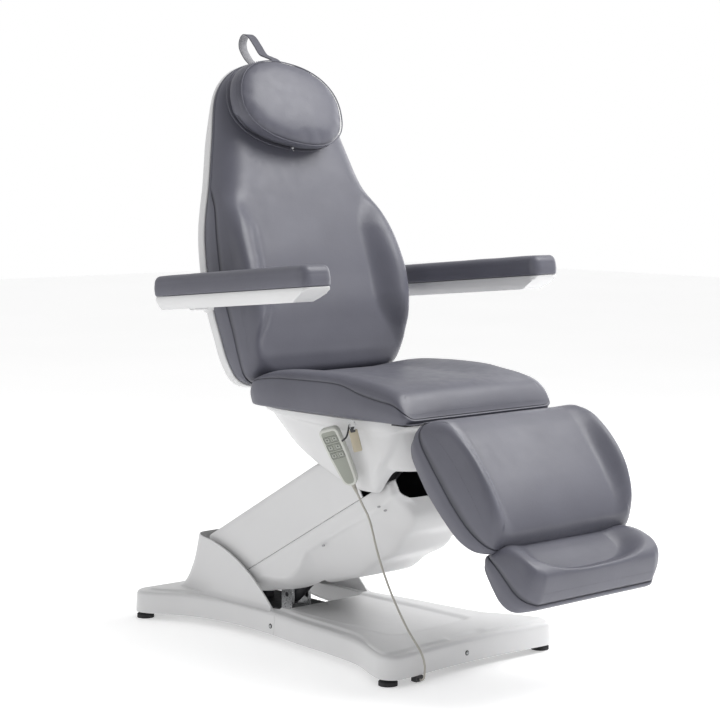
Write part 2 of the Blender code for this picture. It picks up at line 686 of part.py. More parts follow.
def build_back():
    plate = block("back_frame", (-0.150, -0.0125, 0.100), (0.150, -0.0065, 0.680), BACK, (DARK, 0.5, 0.6))
    arm = arc((0.0, 0.0), 0.020, 185.0, 355.0, 8) + [(0.0065, 0.060), (0.006, 0.150), (-0.0115, 0.150), (-0.016, 0.060)]
    hinge_arms(plate, arm, (0.0343, -0.0363), BACK, BACK_LANE)
    rod("recline_shaft", (-0.067, 0.0, 0.0), (0.067, 0.0, 0.0), SHAFT_RADIUS, BACK, (STEEL, 0.3, 0.9))

    rows = []
    ends = [(0.070, 0.180), (0.076, 0.205)]
    ends += [(t, half + 0.002) for t, half, *_ in BACK_STATIONS[1:-1]] + [(0.887, 0.040), (0.892, 0.020)]
    for i, (t, half) in enumerate(ends):
        depth = 0.0115 - 0.0145 * min(max((t - 0.45) / 0.30, 0.0), 1.0)
        if i in (0, len(ends) - 1):
            depth = -0.012
        rows.append(
            [
                (-half, -0.0200, t), (-half, depth - 0.006, t), (-half + 0.008, depth, t),
                (half - 0.008, depth, t), (half, depth - 0.006, t), (half, -0.0200, t),
            ]
        )
    shell = loft("back_shell", rows, BACK, (WHITE, 0.3), False, 0.003)
    notch = block("hinge_notch", (-0.075, -0.03, 0.0), (0.075, 0.0075, 0.097), BACK, cutter=True)
    combine(shell, notch, "DIFFERENCE")
    cushion("back_cushion", BACK_STATIONS, lambda t, x, h: (x, h, t), BACK)

    for side, name in ((-1.0, "left"), (1.0, "right")):
        near, far = side * 0.2735, side * (ARMREST_INNER - 0.0005)
        low, high = sorted((near, side * 0.296))
        centre = (ARMREST_DEPTH, ARMREST_HEIGHT)
        ear = prism(
            f"armrest_bracket_{name}",
            [(-0.012, 0.150), (0.008, 0.150)] + arc(centre, 0.023, -5.0, 185.0, 8),
            low,
            high,
            BACK,
            (WHITE, 0.3),
            STANDING,
        )
        hub = rod(f"armrest_hub_{name}", (side * 0.280, *centre), (far, *centre), 0.018, BACK)
        combine(ear, hub, "UNION")


def build_armrests():
    for side, name in ((-1.0, "left"), (1.0, "right")):
        middle = side * (ARMREST_INNER + ARMREST_OUTER) / 2
        half = (ARMREST_OUTER - ARMREST_INNER) / 2
        corner = 0.026
        outline = []
        for x_sign, y, first in ((1, 0.030, 0), (-1, 0.030, 90), (-1, -0.522, 180), (1, -0.522, 270)):
            centre_y = y - corner if y > 0 else y + corner
            centre_x = middle + x_sign * (half - corner)
            outline += arc((centre_x, centre_y), corner, first, first + 90, 4)
        pad = prism(f"armrest_pad_{name}", outline, 0.0207, 0.0705, ARMRESTS, (GREY, 0.45))
        rounding = pad.modifiers.new("rounded_edges", "BEVEL")
        rounding.width = 0.008
        rounding.segments = 2
        rounding.angle_limit = math.radians(60)
        rings = [
            [(x, y, 0.0202) for x, y in inset(outline, 0.002)],
            [(x, y, -0.004) for x, y in inset(outline, 0.005)],
            [(x, y, -0.013) for x, y in inset(outline, 0.014)],
        ]
        shell = loft(f"armrest_shell_{name}", rings, ARMRESTS, (WHITE, 0.3))
        pocket = prism(
            f"armrest_pocket_{name}", inset(outline, 0.019), -0.008, 0.05, ARMRESTS, None, cutter=True
        )
        combine(shell, pocket, "DIFFERENCE")


def build_leg():
    plate = block("leg_frame", (-0.180, -0.280, -0.0185), (0.180, -0.060, -0.0125), LEG, (DARK, 0.5, 0.6))
    arm = [
        (0.018, -0.012), (0.018, 0.012), (0.006, 0.018), (-0.012, 0.018), (-0.026, 0.006), (-0.050, -0.008),
        (-0.120, -0.0135), (-0.120, -0.0175), (-0.050, -0.026), (-0.018, -0.030), (0.006, -0.020),
    ]
    hinge_arms(plate, arm[::-1], (-0.0357, -0.0418), LEG, LEG_LANE)
    rod("knee_shaft", (-0.067, 0.0, 0.0), (0.067, 0.0, 0.0), SHAFT_RADIUS, LEG, (STEEL, 0.3, 0.9))
    cushion("leg_cushion", LEG_STATIONS, lambda s, x, h: (x, -s, h), LEG)
    runner = [
        (-0.120, -0.029), (-0.120, -0.0225), (-0.385, -0.0225), (-0.385, -0.0095), (-0.440, -0.0095),
        (-0.440, -0.029),
    ]
    prism("foot_slide_frame", runner, -0.060, 0.060, LEG, (STEEL, 0.3, 0.9), STANDING)
    cushion("foot_cushion", FOOT_STATIONS, lambda s, x, h: (x, -s, h), FOOT)


def build_pillow():
    rings = []
    for depth, scale in ((-0.0755, 0.88), (-0.082, 0.97), (-0.108, 1.0), (-0.134, 0.97), (-0.150, 0.86)):
        ring = []
        for i in range(28):
            angle = 2 * math.pi * i / 28
            across, up = math.cos(angle), math.sin(angle)
            across = math.copysign(abs(across) ** 0.85, across) * 0.170
            up = math.copysign(abs(up) ** 0.85, up) * 0.108
            ring.append((across * scale, depth + PILLOW_SLOPE * up * scale, PILLOW_HEIGHT + up * scale))
        rings.append(ring)
    loft("head_pillow", rings, BACK, (GREY, 0.45))
    path = [(-0.092, 0.8665), (-0.0760, 0.895), (-0.048, 0.912), (-0.020, 0.920), (0.005, 0.912), (0.011, 0.895), (0.011, 0.800)]
    path = smooth_line(path, 2)
    outer = [(y, z) for y, z in path]
    inner = inset_open(outer, 0.002)
    prism("pillow_strap", outer + inner[::-1], -0.016, 0.016, BACK, (GREY, 0.6), STANDING)


def inset_open(line, depth):
    """An open line moved to its right-hand side by depth."""
    moved = []
    for i, here in enumerate(line):
        along = (Vector(line[min(i + 1, len(line) - 1)]) - Vector(line[max(i - 1, 0)])).normalized()
        moved.append((here[0] + along.y * depth, here[1] - along.x * depth))
    return moved


def build_handset():
    top, bottom = Vector(HANDSET_TOP), Vector(HANDSET_BOTTOM)
    long_way = (top - bottom).normalized()
    outward = (Vector((-1.0, 0.0, -0.42)) - long_way * Vector((-1.0, 0.0, -0.42)).dot(long_way)).normalized()
    across = long_way.cross(outward)
    turn = Matrix((across, long_way, outward)).transposed().to_4x4()
    place = Matrix.Translation((top + bottom) / 2) @ turn
    spot = bpy.data.objects.new("handset_place", None)
    PARTS.objects.link(spot)
    spot.parent = BED
    spot.matrix_basis = place
    length = (top - bottom).length
    half, thick = HANDSET_SIZE[0] / 2, HANDSET_SIZE[1]
    outline = (
        arc((half - 0.008, length / 2 - 0.008), 0.008, 0, 90, 3)
        + arc((-half + 0.008, length / 2 - 0.008), 0.008, 90, 180, 3)
        + smooth_line(((-half, -0.030), (-half + 0.004, -length / 2 + 0.014), (-0.008, -length / 2)), 2)
        + smooth_line(((0.008, -length / 2), (half - 0.004, -length / 2 + 0.014), (half, -0.030)), 2)
    )
    body = prism("handset_body", outline, 0.0, thick, spot, (CREAM, 0.4))
    rounding = body.modifiers.new("rounded_edges", "BEVEL")
    rounding.width = 0.003
    rounding.segments = 2
    rounding.angle_limit = math.radians(60)
    number = 0
    for row in (0.050, 0.029, 0.008):
        for column in (-0.0095, 0.0095):
            number += 1
            low = (column - 0.0070, row - 0.0065, thick - 0.0035)
            high = (column + 0.0070, row + 0.0065, thick + 0.0010)
            grown = Vector((0.0004, 0.0004, 0.004))
            well = block(
                f"button_{number}_well", Vector(low) - grown, Vector(high) + grown, spot, cutter=True
            )
            well_floor = Vector((0.0, 0.0, 0.0025))
            for vertex in well.data.vertices:
                if vertex.co.z < thick - 0.004:
                    vertex.co += well_floor
            combine(body, well, "DIFFERENCE")
            block(f"handset_button_{number}", low, high, spot, (SAGE, 0.5))
    foot = -length / 2
    relief = rod("cord_relief", (0.0, foot - GAP, thick / 2), (0.0, foot - 0.026, thick / 2), 0.0048, spot, (CREAM, 0.5), 12)
    hook = [(-0.252, -0.238, 0.5865), (-0.262, -0.240, 0.560), (-0.2655, -0.228, 0.548)]
    curve = bpy.data.curves.new("handset_hook", "CURVE")
    curve.dimensions = "3D"
    curve.bevel_depth = 0.0025
    curve.bevel_resolution = 1
    curve.use_fill_caps = True
    spline = curve.splines.new("POLY")
    route = smooth_line(hook, 4)
    spline.points.add(len(route) - 1)
    for point, place in zip(spline.points, route):
        point.co = (*place, 1.0)
    curve.materials.append(material("handset_hook", DARK, 0.4, 0.5))
    made = bpy.data.objects.new("handset_hook", curve)
    made.parent = BED
    PARTS.objects.link(made)
    bpy.context.view_layer.update()
    return spot.matrix_local @ Vector((0.0, foot - 0.026, thick / 2)), -long_way


def wire(name, route, radius, parent, look, per_span):
    curve = bpy.data.curves.new(name, "CURVE")
    curve.dimensions = "3D"
    curve.bevel_depth = radius
    curve.bevel_resolution = 2
    curve.use_fill_caps = True
    spline = curve.splines.new("POLY")
    places = smooth_line(route, per_span)
    spline.points.add(len(places) - 1)
    for point, place in zip(spline.points, places):
        point.co = (*place, 1.0)
    curve.materials.append(material(name, *look))
    obj = bpy.data.objects.new(name, curve)
    obj.parent = parent
    PARTS.objects.link(obj)


def build_cord(start, direction):
    """From the handset's tail to the gland at the base's front edge, then the loop that lies there."""
    first = start + direction * 0.0004
    route = [
        first,
        start + direction * 0.030,
        (-0.1790, -0.231, 0.350),
        (-0.1800, -0.263, 0.270),
        (-0.1850, -0.312, 0.190),
        (-0.1905, -0.370, 0.120),
        (-0.1935, -0.418, 0.075),
        (-0.1925, -0.4305, 0.045),
        (-0.1915, -0.4291, 0.0200),
    ]
    wire("handset_cord", route, CORD_RADIUS, BED, (CREAM, 0.5), 4)
    bend = [(-0.1915, y, z) for y, z in arc((-0.4176, 0.0196), 0.0114, 180.0, 270.0, 6)]
    wire("cord_floor_loop", bend + [(-0.1905, -0.4137, 0.0082)], CORD_RADIUS, BED, (CREAM, 0.5), 2)


build_base()
build_arm()
build_lift_actuator()
build_pedestal()
build_back()
build_armrests()
build_leg()
build_pillow()
tail, down = build_handset()
build_cord(tail, down)
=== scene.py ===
"""Looks for the facial treatment bed: camera, light, materials and the detailed pieces."""

import math
from contextlib import contextmanager

import bmesh
import bpy
import numpy as np
from mathutils import Matrix, Vector, noise


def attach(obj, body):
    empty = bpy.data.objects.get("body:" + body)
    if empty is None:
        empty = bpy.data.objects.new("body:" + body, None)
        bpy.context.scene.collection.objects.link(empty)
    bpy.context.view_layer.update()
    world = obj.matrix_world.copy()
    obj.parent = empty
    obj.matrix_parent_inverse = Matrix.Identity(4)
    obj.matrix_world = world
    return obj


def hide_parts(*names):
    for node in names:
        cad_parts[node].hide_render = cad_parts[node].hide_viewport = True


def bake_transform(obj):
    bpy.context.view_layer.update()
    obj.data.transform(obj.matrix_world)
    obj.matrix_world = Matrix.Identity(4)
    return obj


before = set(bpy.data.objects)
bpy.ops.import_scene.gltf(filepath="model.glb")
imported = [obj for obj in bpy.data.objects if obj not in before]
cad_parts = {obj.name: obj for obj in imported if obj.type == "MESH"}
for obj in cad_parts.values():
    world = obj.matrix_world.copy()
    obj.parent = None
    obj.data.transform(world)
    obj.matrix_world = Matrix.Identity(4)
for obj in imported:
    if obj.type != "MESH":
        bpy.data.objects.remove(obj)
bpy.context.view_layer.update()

# ---- Camera ----
CAMERA_PLACE = Vector((-3.3541, -3.5100, 1.1844))
CAMERA_RIGHT = Vector((0.7330129, -0.6802039, 0.0038416))
CAMERA_UP = Vector((0.0633844, 0.0739263, 0.9952474))
CAMERA_BACK = Vector((-0.6772551, -0.7292857, 0.0973033))
LENS, SENSOR = 99.957, 36.0
FARTHEST = 60.0

camera = bpy.data.objects.new("camera", bpy.data.cameras.new("camera"))
bpy.context.scene.collection.objects.link(camera)
basis = Matrix((CAMERA_RIGHT, CAMERA_UP, CAMERA_BACK)).transposed().to_4x4()
camera.matrix_world = Matrix.Translation(CAMERA_PLACE) @ basis
camera.data.lens = LENS
camera.data.sensor_width = SENSOR
camera.data.clip_end = FARTHEST
bpy.context.scene.camera = camera

# ---- Light and floor ----
BACKDROP = 0.74
SHADED_SIDE = 0.29
LIT_SIDE = (0.68, 0.73, 0.0)


class Tree:
    """A node tree, with short ways to add nodes and to feed their inputs."""

    def __init__(self, tree):
        self.tree = tree

    def add(self, kind, inputs, **settings):
        """A node with its settings; each input gets a value or a link."""
        node = self.tree.nodes.new(kind)
        for key, value in settings.items():
            setattr(node, key, value)
        self.feed(node, inputs)
        return node

    def feed(self, node, inputs):
        for key, value in inputs.items():
            if isinstance(value, bpy.types.NodeSocket):
                self.tree.links.new(value, node.inputs[key])
            else:
                node.inputs[key].default_value = value

    def spread(self, source, low, high, start=0.3, end=0.7, kind="LINEAR"):
        limits = {"Value": source, "From Min": start, "From Max": end, "To Min": low, "To Max": high}
        return self.add("ShaderNodeMapRange", limits, interpolation_type=kind).outputs["Result"]


def studio_world():
    """Lights the far side more than the near sides, and looks white wherever it is seen behind the bed."""
    world = bpy.data.worlds.new("studio")
    world.use_nodes = True
    n = Tree(world.node_tree)
    place = n.add("ShaderNodeTexCoord", {}).outputs["Generated"]
    towards = n.add("ShaderNodeVectorMath", {0: place, 1: LIT_SIDE}, operation="DOT_PRODUCT").outputs["Value"]
    strength = n.spread(towards, SHADED_SIDE, BACKDROP, -0.9, 0.5, "SMOOTHSTEP")
    seen = n.add("ShaderNodeLightPath", {}).outputs["Is Camera Ray"]
    plain = n.add("ShaderNodeMath", {0: strength, 1: seen}, operation="MAXIMUM").outputs["Value"]
    n.feed(n.tree.nodes["Background"], {"Color": (1.0, 1.0, 1.0, 1.0), "Strength": plain})
    bpy.context.scene.world = world


def area_light(name, place, target, size, power):
    light = bpy.data.lights.new(name, "AREA")
    light.shape = "RECTANGLE"
    light.size, light.size_y = size
    light.energy = power
    obj = bpy.data.objects.new(name, light)
    bpy.context.scene.collection.objects.link(obj)
    obj.location = place
    obj.rotation_euler = (Vector(target) - Vector(place)).to_track_quat("-Z", "Y").to_euler()


@contextmanager
def editing(mesh):
    bm = bmesh.new()
    bm.from_mesh(mesh)
    yield bm
    bm.to_mesh(mesh)
    bm.free()


studio_world()
# Name, place, target, size in metres, power in watts
LIGHTS = (
    ("key", (1.4, -1.6, 3.3), (0.0, -0.1, 0.6), (2.4, 2.2), 108),
    ("side", (-3.6, 0.3, 1.7), (0.0, 0.0, 0.6), (2.0, 2.0), 17),
    ("rim", (3.2, 0.5, 1.3), (0.0, 0.0, 0.8), (2.4, 2.2), 32),
)
for lamp in LIGHTS:
    area_light(*lamp)
bpy.context.scene.view_settings.view_transform = "Standard"

FLOOR_HALF = 14.0
floor = bpy.data.objects.new("floor", bpy.data.meshes.new("floor"))
with editing(floor.data) as bm:
    bmesh.ops.create_grid(bm, x_segments=2, y_segments=2, size=FLOOR_HALF)
bpy.context.scene.collection.objects.link(floor)

# ---- Frames of the moving parts, as in the CAD ----
Y_OFFSET = 0.1037


def turned_frame(place, degrees):
    return Matrix.Translation(place) @ Matrix.Rotation(math.radians(degrees), 4, "X")


BED = Matrix.Translation((0.0, Y_OFFSET, 0.0))
ARM = BED @ turned_frame((0.0, 0.385, 0.135), -29.2)
BACK = BED @ turned_frame((0.0, 0.185, 0.575), -13.4)
LEG = BED @ turned_frame((0.0, -0.405, 0.575), 49.5)
FOOT = LEG @ turned_frame((0.0, -0.344, 0.021), -16.5)
ARMREST = BACK @ turned_frame((0.0, -0.0042, 0.2766), 13.4 - 5.2)

# Upholstery: place along the cushion, half width, underside, side seam, side bolster, middle
BACK_PLATE = -0.0205
BACK_STATIONS = (
    (0.060, 0.190, BACK_PLATE, -0.036, -0.066, -0.066),
    (0.077, 0.226, BACK_PLATE, -0.050, -0.102, -0.102),
    (0.110, 0.242, BACK_PLATE, -0.060, -0.122, -0.115),
    (0.140, 0.251, BACK_PLATE, -0.066, -0.140, -0.117),
    (0.190, 0.258, BACK_PLATE, -0.070, -0.154, -0.118),
    (0.242, 0.266, BACK_PLATE, -0.071, -0.160, -0.118),
    (0.313, 0.270, BACK_PLATE, -0.070, -0.158, -0.113),
    (0.373, 0.267, BACK_PLATE, -0.069, -0.149, -0.110),
    (0.437, 0.260, BACK_PLATE, -0.066, -0.134, -0.105),
    (0.498, 0.245, BACK_PLATE, -0.056, -0.113, -0.100),
    (0.545, 0.229, BACK_PLATE, -0.034, -0.098, -0.096),
    (0.585, 0.217, BACK_PLATE, -0.030, -0.092, -0.092),
    (0.687, 0.190, BACK_PLATE, -0.030, -0.080, -0.080),
    (0.787, 0.163, BACK_PLATE, -0.029, -0.070, -0.070),
    (0.837, 0.127, BACK_PLATE, -0.028, -0.060, -0.060),
    (0.866, 0.085, BACK_PLATE, -0.027, -0.050, -0.050),
    (0.885, 0.030, BACK_PLATE, -0.026, -0.038, -0.038),
)
SEAT_STATIONS = (
    (-0.420, 0.235, 0.6030, 0.612, 0.618, 0.620),
    (-0.410, 0.243, 0.5995, 0.625, 0.640, 0.645),
    (-0.380, 0.248, 0.5995, 0.643, 0.668, 0.672),
    (-0.330, 0.250, 0.5995, 0.650, 0.682, 0.681),
    (-0.270, 0.250, 0.5995, 0.660, 0.690, 0.683),
    (-0.200, 0.250, 0.5995, 0.676, 0.697, 0.684),
    (-0.080, 0.250, 0.5995, 0.676, 0.697, 0.684),
    (0.030, 0.250, 0.5995, 0.672, 0.690, 0.680),
    (0.110, 0.245, 0.5995, 0.660, 0.670, 0.666),
    (0.140, 0.228, 0.6010, 0.642, 0.648, 0.648),
    (0.150, 0.200, 0.6060, 0.625, 0.630, 0.630),
)
LEG_STATIONS = (
    (0.013, 0.220, 0.060, 0.065, 0.082, 0.082),
    (0.022, 0.238, 0.036, 0.060, 0.100, 0.096),
    (0.036, 0.246, 0.012, 0.054, 0.114, 0.106),
    (0.058, 0.249, 0.000, 0.050, 0.130, 0.113),
    (0.090, 0.250, -0.006, 0.048, 0.145, 0.118),
    (0.150, 0.250, -0.011, 0.046, 0.157, 0.118),
    (0.220, 0.248, -0.009, 0.044, 0.155, 0.114),
    (0.280, 0.242, -0.004, 0.046, 0.135, 0.105),
    (0.322, 0.232, 0.012, 0.052, 0.104, 0.092),
    (0.346, 0.214, 0.036, 0.056, 0.076, 0.074),
)
FOOT_STATIONS = (
    (-0.010, 0.188, -0.018, 0.000, 0.021, 0.021),
    (0.006, 0.204, -0.028, 0.006, 0.040, 0.034),
    (0.040, 0.213, -0.040, 0.010, 0.060, 0.038),
    (0.080, 0.216, -0.053, 0.006, 0.070, 0.038),
    (0.112, 0.214, -0.053, 0.000, 0.071, 0.040),
    (0.138, 0.205, -0.042, -0.002, 0.060, 0.042),
    (0.156, 0.180, -0.022, -0.004, 0.032, 0.030),
)

# ---- Materials ----
class Nodes(Tree):
    """A material's node tree, with the textures that every material here uses."""

    def __init__(self, name):
        self.material = bpy.data.materials.new(name)
        self.material.use_nodes = True
        super().__init__(self.material.node_tree)
        self.place = self.add("ShaderNodeTexCoord", {}).outputs["Object"]

    def noise(self, scale, detail=3.0):
        inputs = {"Vector": self.place, "Scale": scale, "Detail": detail}
        return self.add("ShaderNodeTexNoise", inputs).outputs["Fac"]

    def colours(self, source, low, high, start=0.3, end=0.7):
        node = self.add("ShaderNodeValToRGB", {"Fac": source})
        for element, place, colour in zip(node.color_ramp.elements, (start, end), (low, high)):
            element.position = place
            element.color = (*colour, 1.0)
        return node.outputs["Color"]

    def painted_seam_shade(self, colour, low):
        """The colour with painted shade: darker where the mesh's seam value is high."""
        seam = self.add("ShaderNodeAttribute", {}, attribute_name="seam").outputs["Fac"]
        seam_shade = self.colours(seam, (1.0, 1.0, 1.0), low, 0.15, 0.85)
        mix = self.add("ShaderNodeMix", {}, data_type="RGBA", blend_type="MULTIPLY")
        self.feed(mix, {"Factor": 1.0, "A": colour, "B": seam_shade})
        return mix.outputs["Result"]

    def bump(self, source, distance, before=None, strength=1.0):
        inputs = {"Height": source, "Distance": distance, "Strength": strength}
        if before:
            inputs["Normal"] = before
        return self.add("ShaderNodeBump", inputs).outputs["Normal"]

    def finish(self, colour, roughness, normal=None, **values):
        shader = self.tree.nodes["Principled BSDF"]
        self.feed(shader, {"Base Color": colour, "Roughness": roughness})
        if normal:
            self.feed(shader, {"Normal": normal})
        self.feed(shader, {key.replace("_", " "): value for key, value in values.items()})
        return self.material


def shade(colour, factor):
    return tuple(c * factor for c in colour)


def surface(name, colour, mottle, bumps, rough, seam=None, pebble=None, **values):
    """A look from layers of noise. mottle and rough are (scale, detail, low, high), each bump (scale, detail,
    depth, strength); seam is the tint of painted shade in sewn or creased places, pebble the leather's cell
    size and depth."""
    n = Nodes(name)
    tone = n.colours(n.noise(*mottle[:2]), shade(colour, mottle[2]), shade(colour, mottle[3]))
    # Painted shade: the colour darkens along sewn seams and creases, by the mesh's seam values.
    if seam:
        tone = n.painted_seam_shade(tone, seam)
    normal = None
    if pebble:
        cells = n.add("ShaderNodeTexVoronoi", {"Vector": n.place, "Scale": pebble[0]}).outputs["Distance"]
        normal = n.bump(n.spread(cells, 0.0, 1.0, 0.0, 0.75), pebble[1], strength=0.55)
    for scale, detail, depth, strength in bumps:
        normal = n.bump(n.noise(scale, detail), depth, normal, strength)
    return n.finish(tone, n.spread(n.noise(*rough[:2]), *rough[2:]), normal, **values)


def leather(name, colour):
    bumps = ((150.0, 3.0, 0.0004, 0.35), (17.0, 1.0, 0.0012, 0.20))
    # The seam tint here is painted shade along the cushions' sewn seams.
    return surface(name, colour, (7.0, 4.0, 0.93, 1.06), bumps, (40.0, 3.0, 0.37, 0.46), (0.46, 0.46, 0.47),
                   (620.0, 0.00012), Specular_IOR_Level=0.5, Sheen_Weight=0.05, Sheen_Roughness=0.4)


def moulded(name, colour, roughness=0.30, texture=0.00006, coat=0.15):
    bumps = ((320.0, 1.0, texture, 0.3), (9.0, 1.0, 0.0012, 0.10))
    rough = (30.0, 2.0, roughness - 0.03, roughness + 0.04)
    # The seam tint is painted shade; it darkens only meshes that carry seam values.
    return surface(name, colour, (5.0, 3.0, 0.975, 1.015), bumps, rough, (0.25, 0.25, 0.26),
                   Coat_Weight=coat, Coat_Roughness=0.12)


def powder_coat(name, colour):
    bumps = ((900.0, 2.0, 0.00015, 0.7),)
    return surface(name, colour, (14.0, 5.0, 0.75, 1.3), bumps, (80.0, 3.0, 0.42, 0.6), Metallic=0.25)


def webbing(name, colour):
    n = Nodes(name)
    inputs = {"Vector": n.place, "Scale": 260.0, "Distortion": 1.5}
    weave = n.add("ShaderNodeTexWave", inputs, wave_type="BANDS", bands_direction="Z").outputs["Fac"]
    tone = n.colours(weave, shade(colour, 0.7), shade(colour, 1.15), 0.2, 0.8)
    normal = n.bump(weave, 0.0003, strength=0.7)
    return n.finish(tone, n.spread(n.noise(300.0), 0.75, 0.92), normal)


GREY = (0.112, 0.113, 0.141)
LEATHER = leather("grey_leather", GREY)
WHITE = moulded("white_plastic", (0.70, 0.70, 0.705), 0.34)
STEEL = surface("brushed_steel", (0.56, 0.57, 0.58), (240.0, 4.0, 0.82, 1.08), ((240.0, 4.0, 0.00008, 0.5),),
                (240.0, 4.0, 0.22, 0.42), Metallic=1.0)
BLACK_STEEL = powder_coat("black_powder_coat", (0.035, 0.035, 0.04))
RUBBER = surface("black_rubber", (0.022, 0.022, 0.024), (50.0, 5.0, 0.7, 1.4), ((500.0, 3.0, 0.0002, 0.6),),
                 (90.0, 3.0, 0.7, 0.88))
BLACK_PLASTIC = moulded("black_plastic", (0.030, 0.030, 0.034), 0.45, 0.00012, 0.0)
CREAM = moulded("cream_plastic", (0.58, 0.59, 0.55), 0.38, 0.00008, 0.05)
SAGE = moulded("keypad_film", (0.30, 0.315, 0.275), 0.42, 0.00005, 0.0)
KEY = moulded("key_cap", (0.37, 0.385, 0.345), 0.40, 0.00005, 0.0)
INK = moulded("key_print", (0.08, 0.085, 0.08), 0.5, 0.00004, 0.0)
CORD = moulded("cord_jacket", (0.46, 0.44, 0.40), 0.45, 0.0001, 0.0)
TAG = moulded("beige_clip", (0.45, 0.40, 0.30), 0.45, 0.0001, 0.0)
PLUG = moulded("plug_cap", (0.36, 0.36, 0.37), 0.5, 0.00005, 0.0)
THREAD = webbing("thread", (0.16, 0.16, 0.19))
STRAP = webbing("strap_web", (0.13, 0.13, 0.155))
LOOP_TAPE = webbing("strap_lining", (0.36, 0.36, 0.38))
# Near-black painted shade for the recess round each base screw.
SHADOW = powder_coat("painted_shade_recess", (0.012, 0.012, 0.013))
FLOOR = surface("studio_floor", (1.0, 1.0, 1.0), (0.8, 2.0, 0.87, 0.90), (), (3.0, 3.0, 0.55, 0.65),
                Emission_Color=(1.0, 1.0, 1.0, 1.0), Emission_Strength=0.42)
floor.data.materials.append(FLOOR)


# ---- Mesh tools ----
SAME_PLACE = 2e-6


def spline(rows, per_span):
    """Catmull-Rom through rows of numbers, as an array."""
    p = np.array(rows, float)
    padded = np.vstack([2 * p[0] - p[1], p, 2 * p[-1] - p[-2]])
    out = []
    for i in range(1, len(padded) - 2):
        a, b, c, d = padded[i - 1 : i + 3]
        for t in np.arange(per_span) / per_span:
            bend = (2 * a - 5 * b + 4 * c - d) * t**2 + (3 * b - a - 3 * c + d) * t**3
            out.append(0.5 * (2 * b + (c - a) * t + bend))
    return np.array(out + [p[-1]])


def smooth(x, low, high):
    t = np.clip((np.asarray(x, float) - low) / (high - low), 0.0, 1.0)
    return t * t * (3.0 - 2.0 * t)


def put(matrix, points):
    """Points of a local frame, in the bed's frame."""
    m = np.array(matrix)
    return np.asarray(points, float) @ m[:3, :3].T + m[:3, 3]


def unit(rows):
    return rows / np.linalg.norm(rows, axis=-1, keepdims=True)


def lengths(line):
    """How far along a line each of its points is."""
    return np.concatenate([[0.0], np.cumsum(np.linalg.norm(np.diff(line, axis=0), axis=1))])


def resample(line, count, closed=False):
    line = np.asarray(line, float)
    if closed:
        line = np.vstack([line, line[:1]])
    reach = lengths(line)
    at = np.linspace(0.0, reach[-1], count + 1)[:-1] if closed else np.linspace(0.0, reach[-1], count)
    return np.stack([np.interp(at, reach, line[:, k]) for k in range(line.shape[1])], axis=1)


def level(plan, height):
    """A plan line at one height, or at a height for each point."""
    return np.column_stack([plan, np.broadcast_to(height, len(plan))])


def between(rim, centre, shares):
    """Lines from a rim towards its centre line."""
    return [rim * (1 - q) + centre * q for q in shares]


def oval(half_x, half_y, power, count):
    """Across and up, round an oval from its low end; the lower the power, the squarer the oval."""
    a = np.linspace(-math.pi / 2, 1.5 * math.pi, count, endpoint=False)
    c, s = np.cos(a), np.sin(a)
    return np.sign(c) * np.abs(c) ** power * half_x, np.sign(s) * np.abs(s) ** power * half_y


def strip_of(path, per_span, count):
    """Even places along a side-view line, with the direction that faces out of it at each."""
    line = resample(spline(path, per_span), count)
    along = unit(np.gradient(line, axis=0))
    return line, np.stack([along[:, 1], -along[:, 0]], axis=1)


def softened(loop, times):
    for _ in range(times):
        loop = (np.roll(loop, 1, axis=0) + 2.0 * loop + np.roll(loop, -1, axis=0)) / 4.0
    return loop


def outline_of(right_half, soft, count):
    """A closed outline, anticlockwise from its low end, from its right half: (0, low) to (0, high)."""
    fine = resample(right_half, 200)
    loop = np.vstack([fine, (fine * (-1, 1))[-2:0:-1]])
    return resample(softened(loop, soft), count, closed=True)


def outward(loop):
    along = np.roll(loop, -1, axis=0) - np.roll(loop, 1, axis=0)
    return unit(np.stack([along[:, 1], -along[:, 0]], axis=1))


def add_object(name, mesh, body, look, node=None, slot=None):
    """A piece on its body. A name that ends in _look stands for the CAD node of that name."""
    obj = bpy.data.objects.new(name, mesh)
    bpy.context.scene.collection.objects.link(obj)
    mesh.materials.append(look)
    if body:
        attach(obj, body)
    if node or name.endswith("_look"):
        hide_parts(*(node or [name.removesuffix("_look")]))
    return obj


def make_mesh(name, points, faces, seam=None, angle=40.0):
    mesh = bpy.data.meshes.new(name)
    mesh.from_pydata(np.asarray(points, float).reshape(-1, 3).tolist(), [], faces)
    # Seam values darken the colour there: painted shade along sewn seams.
    if seam is not None:
        layer = mesh.attributes.new("seam", "FLOAT", "POINT")
        layer.data.foreach_set("value", np.asarray(seam, np.float32).reshape(-1))
    with editing(mesh) as bm:
        bmesh.ops.remove_doubles(bm, verts=bm.verts, dist=SAME_PLACE)
        bmesh.ops.recalc_face_normals(bm, faces=bm.faces)
    mesh.shade_smooth()
    mesh.set_sharp_from_angle(angle=math.radians(angle))
    return mesh


def box_faces(first, rings=2):
    """Faces of a small closed tube of four-point rings, whose points start at a number."""
    return [[first + k for k in f] for f in grid_faces(rings, 4, caps=True)]


def grid_faces(rings, count, closed=True, caps=False):
    index = np.arange(rings * count).reshape(rings, count)
    here = index if closed else index[:, :-1]
    there = np.roll(index, -1, axis=1) if closed else index[:, 1:]
    faces = np.stack([here[:-1], there[:-1], there[1:], here[1:]], axis=-1).reshape(-1, 4).tolist()
    if caps:
        faces += [index[0][::-1].tolist(), index[-1].tolist()]
    return faces


def skin(name, grid, body, look, closed=True, caps=True, seam=None, angle=40.0, **words):
    """A piece over grid[ring][point]."""
    grid = np.asarray(grid, float)
    faces = grid_faces(*grid.shape[:2], closed, caps and closed)
    return add_object(name, make_mesh(name, grid, faces, seam, angle), body, look, **words)


def applied(obj):
    """The object's mesh with its modifiers applied."""
    graph = bpy.context.evaluated_depsgraph_get()
    graph.update()
    done = obj.evaluated_get(graph)
    obj_mesh = bpy.data.meshes.new_from_object(done, preserve_all_data_layers=True, depsgraph=graph)
    obj.modifiers.clear()
    obj.data = obj_mesh
    return obj


